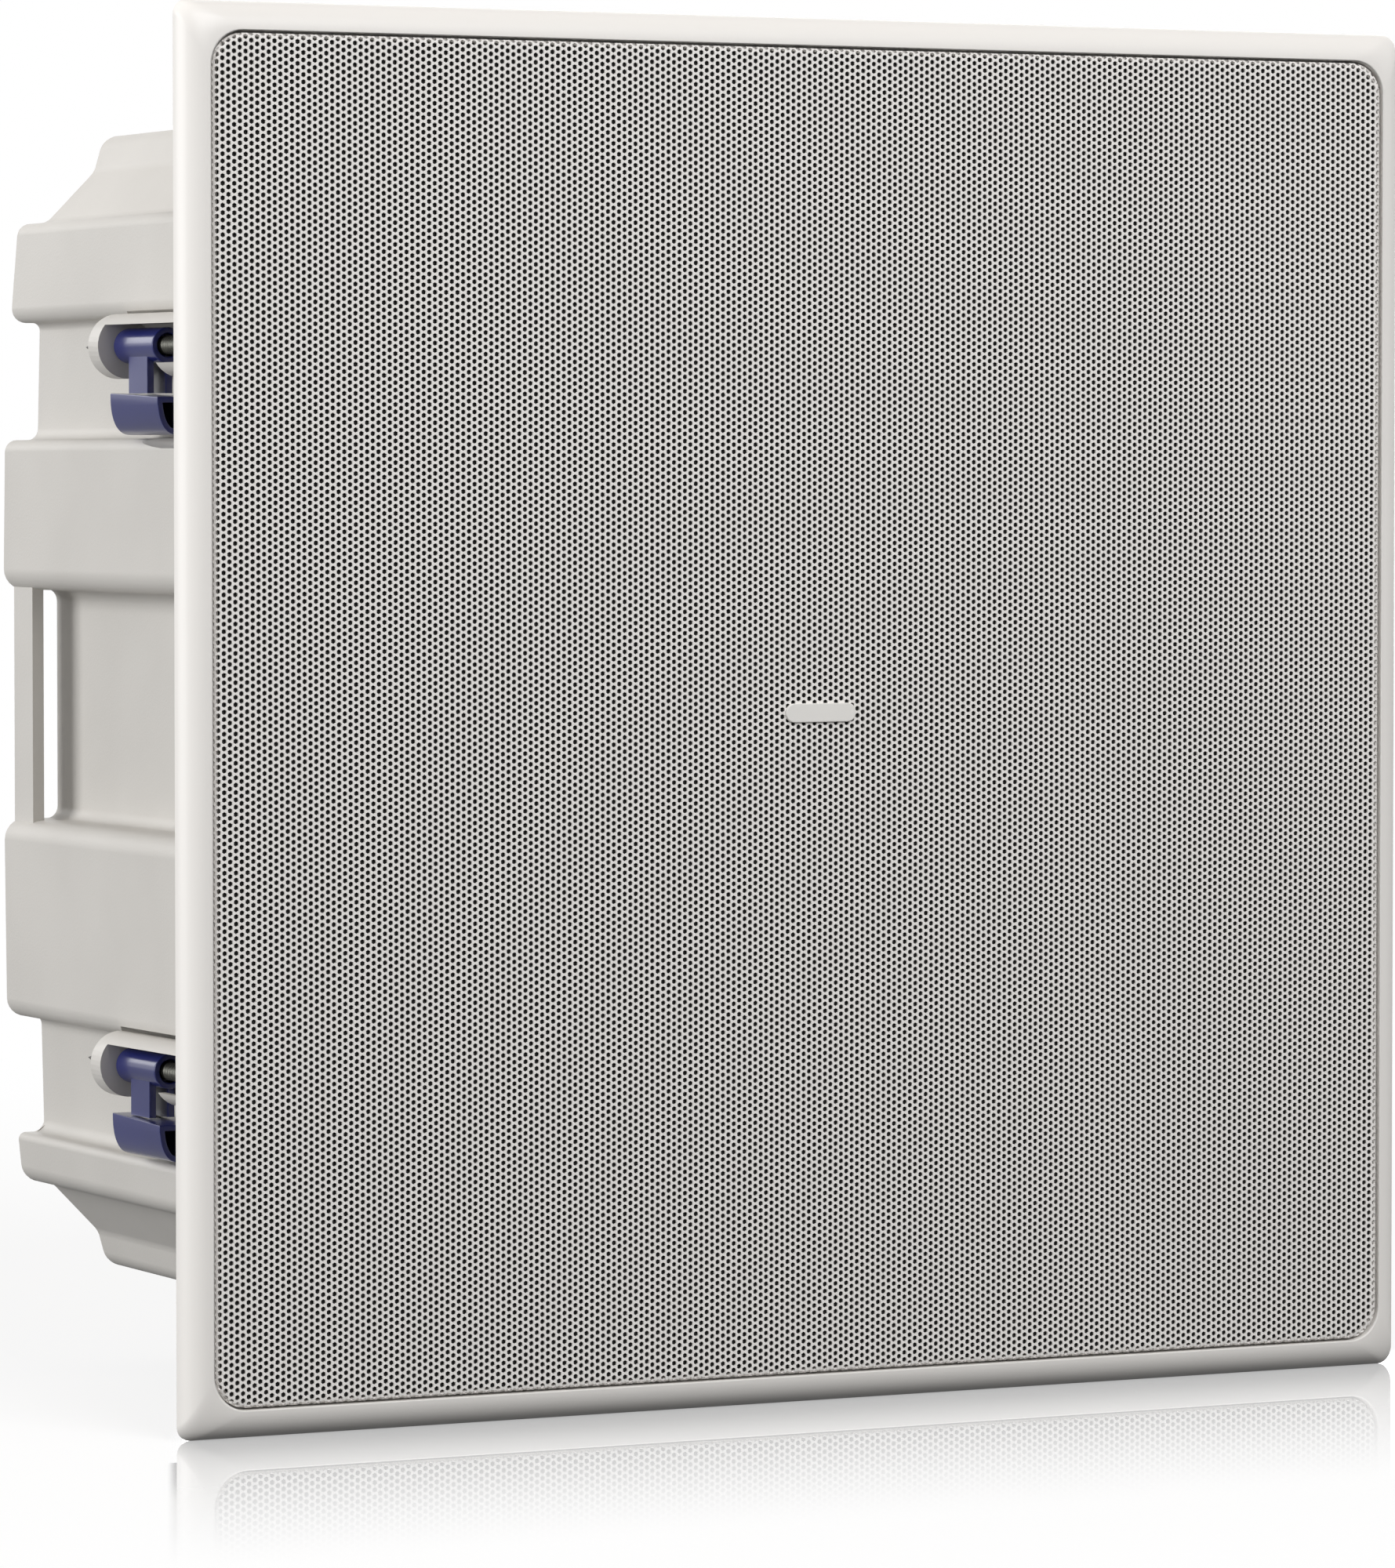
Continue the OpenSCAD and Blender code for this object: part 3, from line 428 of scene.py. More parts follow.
def bendOver(co, flatHalf, flatCorner):
    # a point of the flat sheet goes to its place on the folded sheet; co.y is its depth in the sheet
    x, z, depth = co.x / mm, co.z / mm, co.y / mm
    out, ax, az = rimDistance(x, z, flatHalf, flatCorner)
    if out <= 0:
        return Vector((co.x, (grille["front"] + depth) * mm, co.z))
    around = min(out / grille["bend"], math.pi / 2)
    r = grille["bend"] - depth
    run = out - grille["bend"] * around
    back = grille["front"] + grille["bend"] - r * math.cos(around) + run
    move = r * math.sin(around) - out
    return Vector(((x + ax * move) * mm, back * mm, (z + az * move) * mm))


def perforatedStrip(index, flatHalf, flatCorner, reach):
    column = grille["pitch"] * math.sqrt(3) / 2
    count = int(reach / column)
    rows = int(reach / grille["pitch"]) + 1
    first = -count + index * 2 * count // grille["strips"]
    last = -count + (index + 1) * 2 * count // grille["strips"]
    bm = bmesh.new()
    bmesh.ops.create_grid(bm, x_segments=last - first, y_segments=2 * rows, size=0.5)
    for v in bm.verts:
        c = first + round((v.co.x + 0.5) * (last - first))
        r = round(v.co.y * 2 * rows)
        v.co = Vector((c * column, 0, (r + 0.5 * (c % 2)) * grille["pitch"])) * mm
    bmesh.ops.triangulate(bm, faces=bm.faces, quad_method="SHORT_EDGE")
    beyond = [v for v in bm.verts
              if rimDistance(v.co.x / mm, v.co.z / mm, flatHalf, flatCorner)[0] > reach - flatHalf]
    bmesh.ops.delete(bm, geom=beyond, context="VERTS")
    ends = [first * column * mm, last * column * mm]
    cut = bmesh.ops.bevel(bm, geom=bm.verts, offset=grille["hole"] / 2 * mm, offset_type="OFFSET",
                          segments=1, profile=0.5, affect="VERTICES", material=-1)
    bmesh.ops.delete(bm, geom=cut["faces"], context="FACES_ONLY")
    bmesh.ops.delete(bm, geom=[e for e in bm.edges if not e.link_faces], context="EDGES")
    rims = [e for e in bm.edges if e.is_boundary and not any(
        all(abs(v.co.x - end) < 0.01 * mm for v in e.verts) for end in ends)]
    walls = bmesh.ops.extrude_edge_only(bm, edges=rims)["geom"]
    for v in walls:
        if isinstance(v, bmesh.types.BMVert):
            v.co.y += grille["punched"] * mm
    for v in bm.verts:
        v.co = bendOver(v.co, flatHalf, flatCorner)
    bmesh.ops.recalc_face_normals(bm, faces=bm.faces)
    return bm


def makeGrille():
    flatHalf = grille["half"] - grille["bend"]
    flatCorner = grille["corner"] - grille["bend"]
    reach = flatHalf + grille["bend"] * math.pi / 2 + grille["margin"]
    for index in range(grille["strips"]):
        bm = perforatedStrip(index, flatHalf, flatCorner, reach)
        face = max(bm.faces, key=lambda f: f.calc_area())
        if face.normal.y > 0:
            bmesh.ops.reverse_faces(bm, faces=bm.faces)
        keep(bm, f"grilleStrip{index + 1}", "grilleCoat", "speaker",
             ["grille"] if index == 0 else (), 40, False)


def makeGrilleHem():
    # the plain folded edge below the last holes
    bm = bmesh.new()
    w, r = grille["half"] - grille["hemInset"], grille["corner"] - grille["hemInset"]
    top = grille["front"] + grille["bend"] + grille["hemLap"]
    flatShape(bm, roundedSquare(w, r), top, 8)
    edges = list(bm.edges)
    bmesh.ops.delete(bm, geom=list(bm.faces), context="FACES_ONLY")
    made = bmesh.ops.extrude_edge_only(bm, edges=edges)["geom"]
    for v in made:
        if isinstance(v, bmesh.types.BMVert):
            v.co.y = (grille["front"] + grille["edge"]) * mm
    bmesh.ops.recalc_face_normals(bm, faces=bm.faces)
    bmesh.ops.solidify(bm, geom=list(bm.faces), thickness=grille["hemThick"] * mm)
    bmesh.ops.recalc_face_normals(bm, faces=bm.faces)
    keep(bm, "grilleHem", "grilleCoat", "speaker")


makeGrille()
makeGrilleHem()
print("grille made")

# Front frame: the CAD moulding with a new bezel, whose mitres fade out towards the window
frontFrame = {
    "outer": 197.0, "outerCorner": 4.0, "window": 188.7, "windowCorner": 10.0, "proud": 7.0,
    "levels": 14, "cornerSteps": 12,
}


def beyondWindow(v):
    f = frontFrame
    return rimDistance(v.co.x / mm, v.co.z / mm, f["window"], f["windowCorner"])[0]


def isCrown(face):
    # the bezel's own faces: in front of its rear face and outside the window
    if any(v.co.y > 0.001 * mm or beyondWindow(v) < -0.02 for v in face.verts):
        return False
    if min(beyondWindow(v) for v in face.verts) > 1:
        return face.normal.y < 0.5
    return face.normal.y < -0.001


def bezelRing():
    # rounded squares from the rim to the window, bridged: the corner radius grows on the way
    f = frontFrame
    band = f["outer"] - f["window"]
    radius = (band ** 2 + f["proud"] ** 2) / (2 * f["proud"])
    start = math.asin((radius - f["proud"]) / radius)
    ring = bmesh.new()
    loops = []
    for level in range(f["levels"] + 1):
        around = start + (math.pi / 2 - start) * (level + 0.3) / (f["levels"] + 0.8)
        inset = band - radius * math.cos(around)
        w = f["outer"] - inset
        r = f["outerCorner"] + (f["windowCorner"] - f["outerCorner"]) * inset / band
        depth = radius - f["proud"] - radius * math.sin(around)
        flat = bmesh.new()
        flatShape(flat, roundedSquare(w, r), depth, f["cornerSteps"])
        join(ring, flat)
    for depth in sorted({round(v.co.y, 7) for v in ring.verts}):
        loops.append([e for e in ring.edges if abs(e.verts[0].co.y - depth) < 1e-6])
    bmesh.ops.delete(ring, geom=list(ring.faces), context="FACES_ONLY")
    for pair in zip(loops, loops[1:]):
        bmesh.ops.bridge_loops(ring, edges=pair[0] + pair[1])
    return ring


def makeFrontFrame():
    f = frontFrame
    bm = bmesh.new()
    bm.from_mesh(frame["nodes"]["front_frame"].data)
    bmesh.ops.remove_doubles(bm, verts=bm.verts, dist=0.001 * mm)
    bmesh.ops.delete(bm, geom=[face for face in bm.faces if isCrown(face)], context="FACES")
    bmesh.ops.dissolve_limit(bm, angle_limit=math.radians(0.4), verts=bm.verts, edges=bm.edges,
                             use_dissolve_boundaries=False)
    join(bm, bezelRing())
    rims = [e for e in bm.edges if e.is_boundary]
    halfway = (f["outer"] - f["window"]) / 2
    outside = [e for e in rims if beyondWindow(e.verts[0]) > halfway]
    inside = [e for e in rims if beyondWindow(e.verts[0]) <= halfway]
    for rim in (outside, inside):  # the new bezel is sewn to the moulding along both rims
        bmesh.ops.triangle_fill(bm, edges=rim, use_beauty=True)
    bmesh.ops.recalc_face_normals(bm, faces=bm.faces)
    keep(bm, "frontFrameMoulding", "frameAbs", "speaker", ["front_frame"], 30)


makeFrontFrame()
print("front frame made")

# Badge: small bare pill
badge = {"length": 22.6, "height": 5.4, "thick": 0.8, "round": 0.3, "endFlat": 0.004}


def makeBadge():
    bm = bmesh.new()
    w, h = badge["length"] / 2, badge["height"] / 2
    r = h - badge["endFlat"]  # the ends are very nearly full half circles
    flatShape(bm, [[-w, -h, r], [w, -h, r], [w, h, r], [-w, h, r]], grille["front"], 10, 1.0)
    bmesh.ops.remove_doubles(bm, verts=bm.verts, dist=0.01 * mm)
    front = thicken(bm, list(bm.faces)[0], -badge["thick"])
    roundEdges(bm, list(front.edges), badge["round"], 3)
    pointOutwards(bm)
    keep(bm, "badgePill", "badgePlastic", "speaker", ["grille_badge"])


makeBadge()

# Scrim: black cloth between the sheet and the shelf
scrim = {"half": 186.6, "front": -6.0, "thick": 0.3, "corner": 8.5}


def makeScrim():
    bm = bmesh.new()
    w, r = scrim["half"], scrim["corner"]
    face = flatShape(bm, roundedSquare(w, r), scrim["front"], 5)
    thicken(bm, face, scrim["thick"])
    pointOutwards(bm)
    piece = keep(bm, "scrimCloth", "scrimCloth", "speaker", ["grille_cloth"])


makeScrim()
print("badge and scrim made")

# Back box: one deep moulding with lobes and recesses, and a side bar across each middle recess
sideBar = {
    "x": 173.1, "thick": 3.3, "front": 155.5, "rear": 169.0, "half": 41.7, "round": 0.35,
    "play": 0.1,
}
backBox = {
    "front": 20.0, "rear": 171.0, "wall": 3.0, "rearRound": 4.0, "draft": 0.5,
    "lobe": 176.4, "top": 167.0, "clampWall": 165.0, "middleWall": 159.5, "middleHalf": 33.7,
    "lobeRound": 6.0, "recessRound": 3.5, "above": 7.9, "below": 26.4,
    "upperClamp": 103.8, "lowerClamp": -99.7, "clampX": 176.0, "pocketFront": 15.0,
    "shroudRoom": 10.4, "shroudEnd": 88.0, "scoop": 14.7, "scoopX": -4.0, "scoopZ": -14.5,
    "flange": 5.5, "flangeThick": 4.0, "flangeInset": 0.5,
    "pillar": 4.5, "pillarBore": 2.1, "pillarRear": 38.0,
    "board": (49, 81, 139), "standoff": 4.0, "standoffBore": 1.6, "standoffFront": 159.6,
    "standoffRoot": 1.0, "standoffFloor": 5.0,
    "terminal": (20.1, -71.1, -48.9), "terminalDepth": 6.0,
}
boxScrews = [[-164.2, 126.1], [-169.2, 55.55], [-169.2, -62.75], [-163.2, -133.3],
             [-70, 159.8], [70, 159.8]]
# side and height of each clamp: the right-hand pair is the left-hand pair, half a turn about Y
clampPlaces = {
    "upper_left": (-1, backBox["upperClamp"]), "lower_left": (-1, backBox["lowerClamp"]),
    "upper_right": (1, -backBox["lowerClamp"]), "lower_right": (1, -backBox["upperClamp"]),
}


def putAtClamp(bm, side, height):
    # a shape round the left-hand screw's axis goes to its place
    if side > 0:
        halfTurn = Matrix.Rotation(math.pi, 3, "Y")
        bmesh.ops.rotate(bm, verts=bm.verts, cent=(0, 0, 0), matrix=halfTurn)
    bmesh.ops.translate(bm, verts=bm.verts, vec=(side * backBox["clampX"] * mm, 0, height * mm))


def boxCorners():
    # the rear wall's outline: the left side from top to bottom, then the same turned half a turn
    b = backBox
    lobe, top, wall, mid, z = b["lobe"], b["top"], b["clampWall"], b["middleWall"], b["middleHalf"]
    up, low, over, under = b["upperClamp"], b["lowerClamp"], b["above"], b["below"]
    big, small = b["lobeRound"], b["recessRound"]
    left = [
        [lobe - 32.4, top, big], [lobe - 29.4, top - 10.5, big], [lobe - 13.9, top - 26, big],
        [lobe - 5, top - 26.5, big], [lobe - 2.6, up + over, big], [wall - 0.4, up + over, small],
        [wall + 0.4, up - under, small], [lobe - 0.6, up - under, big], [lobe, z, big],
        [mid, z, small], [mid, -z, small], [lobe, -z, big], [lobe - 0.6, low + over, big],
        [wall - 0.1, low + over, small], [wall - 0.9, low - under, small],
        [lobe - 3.9, low - under, big], [lobe - 5.4, 26.7 - top, big],
        [lobe - 14.4, 25.7 - top, big], [lobe - 29.4, 10.5 - top, big], [lobe - 32.4, -top, big]]
    return [[-x, v, r] for x, v, r in left] + [[x, -v, r] for x, v, r in left]


def clampPockets():
    # room in the lobes for the shroud, and a soft scoop for the foot as it runs forward
    b = backBox
    pockets = bmesh.new()
    front, room, end, r = b["pocketFront"], b["shroudRoom"], b["shroudEnd"], b["scoop"]
    shroud = [[0, front], [room, front], [room, end - 2], [room - 2, end], [0, end]]
    scoop = [[0, front], [r, front], [r, 54], [r - 0.4, 61], [r - 1.1, 68], [r - 2.2, 75], [0, 79]]
    for side, height in clampPlaces.values():
        pocket = bmesh.new()
        turn(pocket, shroud, 48)
        turn(pocket, scoop, 64, (b["scoopX"] * mm, 0, b["scoopZ"] * mm))
        pointOutwards(pocket)
        putAtClamp(pocket, side, height)
        join(pockets, pocket)
    return pockets


def addFlange(bm, spread):
    # round the open front: the outline is drawn in a little, then a band of it is kept
    b = backBox
    rim = bmesh.new()
    face = flatShape(rim, boxCorners(), b["front"], 4)
    bmesh.ops.scale(rim, verts=rim.verts, vec=(spread, 1, spread))
    bmesh.ops.inset_region(rim, faces=[face], thickness=b["flangeInset"] * mm,
                           use_even_offset=True)
    middle = max(rim.faces, key=lambda f: f.calc_area())
    bmesh.ops.delete(rim, geom=[f for f in rim.faces if f != middle], context="FACES")
    bmesh.ops.inset_region(rim, faces=[middle], thickness=(b["flange"] - b["flangeInset"]) * mm,
                           use_even_offset=True)
    middle = max(rim.faces, key=lambda f: f.calc_area())
    bmesh.ops.delete(rim, geom=[middle], context="FACES_ONLY")
    bmesh.ops.solidify(rim, geom=list(rim.faces), thickness=-b["flangeThick"] * mm)
    lowest = min(v.co.y for v in rim.verts)
    bmesh.ops.translate(rim, verts=rim.verts, vec=(0, b["front"] * mm - lowest, 0))
    pointOutwards(rim)
    join(bm, rim)


def addPosts(bm):
    # bored pillars for the screws, and blind standoffs for the crossover
    b = backBox
    r, bore, front, rear = b["pillar"], b["pillarBore"], b["front"], b["pillarRear"]
    pillar = [[bore, front], [r, front], [r, rear], [bore, rear], [bore, front]]
    for x, z in boxScrews + [[-x, -z] for x, z in boxScrews]:
        turn(bm, pillar, 24, (x * mm, 0, z * mm))
    r, bore, front = b["standoff"], b["standoffBore"], b["standoffFront"]
    root, floor = b["rear"] - b["standoffRoot"], b["rear"] - b["standoffFloor"]
    standoff = [[0, root], [r, root], [r, front], [bore, front], [bore, floor], [0, floor]]
    across, low, high = b["board"]
    for x in (-across, across):
        for z in (low, high):
            turn(bm, standoff, 24, (x * mm, 0, z * mm))


def wallOpenings():
    # the terminal block's hole, and a slot through the lobes for each side bar
    b, s = backBox, sideBar
    openings = bmesh.new()
    across, low, high = b["terminal"]
    addBlock(openings, (-across, b["rear"] - b["terminalDepth"], low),
             (across, b["rear"] + 1, high))
    for side in (-1, 1):
        x = sorted([side * (s["x"] + s["play"]), side * (s["x"] - s["thick"] - s["play"])])
        addBlock(openings, (x[0], s["front"] - s["play"], -s["half"] - s["play"]),
                 (x[1], s["rear"] + s["play"], s["half"] + s["play"]))
    return openings


def makeBackBox():
    b = backBox
    bm = bmesh.new()
    rear = flatShape(bm, boxCorners(), b["rear"], 6)
    made = bmesh.ops.extrude_face_region(bm, geom=[rear])["geom"]
    front = [g for g in made if isinstance(g, bmesh.types.BMFace)][0]
    spread = 1 + (b["rear"] - b["front"]) * math.tan(math.radians(b["draft"])) / b["lobe"]
    bmesh.ops.scale(bm, verts=front.verts, vec=(spread, 1, spread))
    bmesh.ops.translate(bm, verts=front.verts, vec=(0, (b["front"] - b["rear"]) * mm, 0))
    rearEdges = [e for e in bm.edges if all(abs(v.co.y - b["rear"] * mm) < 1e-6 for v in e.verts)]
    roundEdges(bm, rearEdges, b["rearRound"], 5)
    pointOutwards(bm)
    bm = cutAway(bm, clampPockets())
    mouth = [f for f in bm.faces if all(abs(v.co.y - b["front"] * mm) < 1e-6 for v in f.verts)]
    bmesh.ops.delete(bm, geom=mouth, context="FACES")
    bmesh.ops.solidify(bm, geom=list(bm.faces), thickness=b["wall"] * mm)
    pointOutwards(bm)
    bm = cutAway(bm, wallOpenings())
    addFlange(bm, spread)
    addPosts(bm)
    keep(bm, "backBoxShell", "boxAbs", "speaker", ["back_box"], 25)


makeBackBox()
print("back box made")


def makeSideBars():
    s = sideBar
    for side, node in ((-1, "side_bar_left"), (1, "side_bar_right")):
        bm = bmesh.new()
        x = sorted([side * s["x"], side * (s["x"] - s["thick"])])
        addBlock(bm, (x[0], s["front"], -s["half"]), (x[1], s["rear"], s["half"]))
        roundEdges(bm, list(bm.edges), s["round"], 3)
        keep(bm, "carryingBar" + ("Left" if side < 0 else "Right"), "barAbs", "speaker", [node])


makeSideBars()

# Clamps and their screws
clamp = {
    "bossFront": 50.7, "bossRear": 78.7, "boss": 10.0, "bossRound": 1.6,
    "bore": 5.26, "mouth": 6.6, "mouthDeep": 6.0, "mouthBevel": 0.3,
    "legFront": 56.7, "legRear": 69.7, "legIn": 1.75, "legOut": 3.9, "legTop": -1.1,
    "legRound": 0.25, "footTop": -13.3, "footHigh": 11.8, "footWide": 12.8,
    "footFront": 44.0, "footRear": 77.0, "footWall": 1.6, "footFloor": 2.0,
    "slope": 1.2, "soft": 0.35, "full": 0.8,
}
clampScrew = {
    "dia": 5.1, "root": 4.1, "pitch": 1.6, "headDia": 9.4, "headFront": 9.6, "headRear": 13.0,
    "threadFront": 20.0, "threadRear": 101.0, "tip": 109.0, "stepsPerTurn": 20,
}


def clampBoss():
    c = clamp
    boss = bmesh.new()
    r, bore, mouth = c["boss"] / 2, c["bore"] / 2, c["mouth"] / 2
    front, rear, soft, bevel = c["bossFront"], c["bossRear"], c["bossRound"], c["mouthBevel"]
    arc = []  # the boss's rounded rear edge
    for t in range(5, -1, -1):
        across, along = math.sin(t * math.pi / 10), math.cos(t * math.pi / 10)
        arc.append([r - soft + soft * across, rear - soft + soft * along])
    inner = front + c["mouthDeep"]
    face = [[bore, inner], [mouth, inner], [mouth, front + bevel], [mouth + bevel, front],
            [r - 0.5, front], [r - 0.15, front + 0.15], [r, front + 0.5]]
    turn(boss, face + arc + [[bore, rear], [bore, inner]], 48)
    return boss


def clampLeg(side):
    c = clamp
    leg = bmesh.new()
    x = sorted([side * c["legIn"], side * c["legOut"]])
    addBlock(leg, (x[0], c["legFront"], c["footTop"] - 0.1), (x[1], c["legRear"], c["legTop"]))
    upright = [e for e in leg.edges if abs(e.verts[0].co.z - e.verts[1].co.z) > 5 * mm]
    roundEdges(leg, upright, c["legRound"], 2)
    return leg


def clampFoot():
    # hollow, and open to the front
    c = clamp
    foot = bmesh.new()
    half, high = c["footWide"] / 2, c["footHigh"]
    bow = []  # a half oval with full shoulders
    for a in range(0, 181, 6):
        across, down = math.cos(math.radians(a)), math.sin(math.radians(a))
        bow.append([-math.copysign(half * abs(across) ** c["full"], across),
                    c["footTop"] - high * max(down, 0) ** c["full"], 0])
    face = flatShape(foot, bow, c["footFront"])
    thicken(foot, face, c["footRear"] - c["footFront"])
    mouthFace = [f for f in foot.faces if all(abs(v.co.y - c["footFront"] * mm) < 1e-6
                                              for v in f.verts)]
    bmesh.ops.inset_region(foot, faces=mouthFace, thickness=c["footWall"] * mm,
                           use_even_offset=True)
    made = bmesh.ops.extrude_face_region(foot, geom=mouthFace)["geom"]
    bmesh.ops.delete(foot, geom=mouthFace, context="FACES_ONLY")
    for v in made:
        if isinstance(v, bmesh.types.BMVert):
            v.co.y = (c["footRear"] - c["footFloor"]) * mm
    pointOutwards(foot)
    rims = [e for e in foot.edges if len(e.link_faces) == 2 and e.calc_face_angle(0) > 0.9]
    roundEdges(foot, rims, c["soft"], 2)
    for v in foot.verts:  # the top plate falls a little towards the front
        if v.co.z > (c["footTop"] - 3) * mm:
            along = (c["footRear"] * mm - v.co.y) / ((c["footRear"] - c["footFront"]) * mm)
            v.co.z -= c["slope"] * mm * along
    return foot


def makeClamp(place, side, height):
    bm = clampBoss()
    for part in (clampLeg(-1), clampLeg(1), clampFoot()):
        join(bm, part)
    pointOutwards(bm)
    putAtClamp(bm, side, height)
    keep(bm, "clampDog_" + place, "clampNylon", place + "_clamp", ["clamp_dog_" + place], 28)


def makeClampScrew(place, side, height):
    # one tooth's profile runs round and along the axis; the head and the point close the ends
    s = clampScrew
    bm = bmesh.new()
    crest, root, pitch, head = s["dia"] / 2, s["root"] / 2, s["pitch"], s["headDia"] / 2
    turns = int((s["threadRear"] - s["threadFront"]) / pitch)
    tooth = [[root, 0], [crest, pitch * 0.42], [crest, pitch * 0.58], [root, pitch]]
    verts = [bm.verts.new((r * mm, (s["threadFront"] + y) * mm, 0)) for r, y in tooth]
    edges = [bm.edges.new(pair) for pair in zip(verts, verts[1:])]
    bmesh.ops.spin(bm, geom=verts + edges, cent=(0, 0, 0), axis=(0, 1, 0),
                   dvec=(0, pitch * mm / s["stepsPerTurn"], 0), angle=turns * 2 * math.pi,
                   steps=turns * s["stepsPerTurn"])
    top, under, end = s["headFront"], s["headRear"], s["threadFront"] + turns * pitch
    turn(bm, [[0, top], [head - 1.2, top], [head - 0.4, top + 0.4], [head, top + 1.2],
              [head, under], [crest, under], [crest, s["threadFront"] + pitch],
              [root, s["threadFront"] + 2 * pitch]], 32)
    turn(bm, [[root, end - pitch / 2], [root, end], [root * 0.9, end + 1], [0, s["tip"]]], 24)
    pointOutwards(bm)
    putAtClamp(bm, side, height)
    keep(bm, "clampScrew_" + place, "screwSteel", place + "_screw", ["clamp_screw_" + place], 30)


for place, (side, height) in clampPlaces.items():
    makeClamp(place, side, height)
    makeClampScrew(place, side, height)
print("clamps made")

# Wadding: two soft pads on the rear wall
wadding = {
    "inner": 30.0, "round": 7.0, "longest": 30.0, "cuts": 12, "puff": 3.0, "backing": 10.0,
}


def makeWadding():
    w = wadding
    low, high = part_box("wadding")
    for side in (-1, 1):
        bm = bmesh.new()
        x = sorted([side * w["inner"], side * high.x / mm])
        addBlock(bm, (x[0], low.y / mm, low.z / mm), (x[1], high.y / mm, high.z / mm))
        roundEdges(bm, list(bm.edges), w["round"], 4)
        pointOutwards(bm)
        long = [e for e in bm.edges if e.calc_length() > w["longest"] * mm]
        bmesh.ops.subdivide_edges(bm, edges=long, cuts=w["cuts"], use_grid_fill=True)
        for v in bm.verts:  # uneven hollows over the front and the sides
            wave = math.sin(v.co.x * 90 + side) * math.sin(v.co.z * 70) * math.sin(v.co.z * 31 + 1)
            if v.co.y < high.y - w["backing"] * mm:
                v.co.y += (1 + wave) * w["puff"] / 2 * mm
        piece = keep(bm, "waddingPad" + ("Left" if side < 0 else "Right"), "waddingFibre",
                     "speaker", ["wadding"] if side < 0 else (), 60)


makeWadding()
print("wadding made")

# Floor, light and camera: metres and degrees, apart from the floor's level and the camera's place
studio = {
    "floorLevel": -197.0, "floorSize": 60.0, "worldLight": 0.26,
    "cameraPlace": (-1055.3, -1932.6, 74.1), "yaw": 27.816, "pitch": -2.462, "lens": 177.58,
}
# the polish starts in front of the bezel, is strongest under it and stops under the box; it
# shows most at flat angles, and its left edge runs back at a slant
polish = {
    "front": -0.23, "full": -0.01, "most": 0.5, "stop": 0.0, "gone": 0.03,
    "steep": 0.3, "flat": 0.8, "steepShare": 0.15,
    "slant": -0.4445, "left": -0.2, "right": -0.197, "roughness": 0.01,
}
# the floor glows white away from the part, shades a little near it and throws back less light
glow = {"near": 0.5, "far": 1.3, "nearShare": 0.82, "reflected": -0.65, "matt": "#5A5A5A"}


def polishShare(tree, place):
    # how much of the polish is seen: a patch of floor, and more of it at a flatter angle
    p = polish
    split = addNode(tree, "SeparateXYZ", {0: place})
    rise = addNode(tree, "MapRange", {"Value": split.outputs["Y"], "From Min": p["front"],
                                      "From Max": p["full"], "To Min": 0.0, "To Max": p["most"]},
                   interpolation_type="SMOOTHSTEP")
    fall = addNode(tree, "MapRange", {"Value": split.outputs["Y"], "From Min": p["stop"],
                                      "From Max": p["gone"], "To Min": 1.0, "To Max": 0.0},
                   interpolation_type="SMOOTHSTEP")
    band = addNode(tree, "Math", {0: rise.outputs["Result"], 1: fall.outputs["Result"]},
                   operation="MULTIPLY")
    angle = addNode(tree, "LayerWeight").outputs["Facing"]
    flat = addNode(tree, "MapRange", {"Value": angle, "From Min": p["steep"],
                                      "From Max": p["flat"], "To Min": p["steepShare"],
                                      "To Max": 1.0})
    patch = addNode(tree, "Math", {0: band.outputs[0], 1: flat.outputs["Result"]},
                    operation="MULTIPLY")
    slant = addNode(tree, "Math", {0: split.outputs["Y"], 1: p["slant"], 2: split.outputs["X"]},
                    operation="MULTIPLY_ADD")
    beside = addNode(tree, "MapRange", {"Value": slant.outputs[0], "From Min": p["left"],
                                        "From Max": p["right"]}, interpolation_type="SMOOTHSTEP")
    share = addNode(tree, "Math", {0: patch.outputs[0], 1: beside.outputs["Result"]},
                    operation="MULTIPLY")
    return share.outputs[0]


def raysThatSeeWhite(tree):
    # camera rays and reflections see the white, and the part is lit by less of it
    ray = addNode(tree, "LightPath")
    seen = addNode(tree, "Math", {0: ray.outputs["Is Camera Ray"], 1: ray.outputs["Is Glossy Ray"]},
                   operation="MAXIMUM")
    return ray, seen.outputs[0]


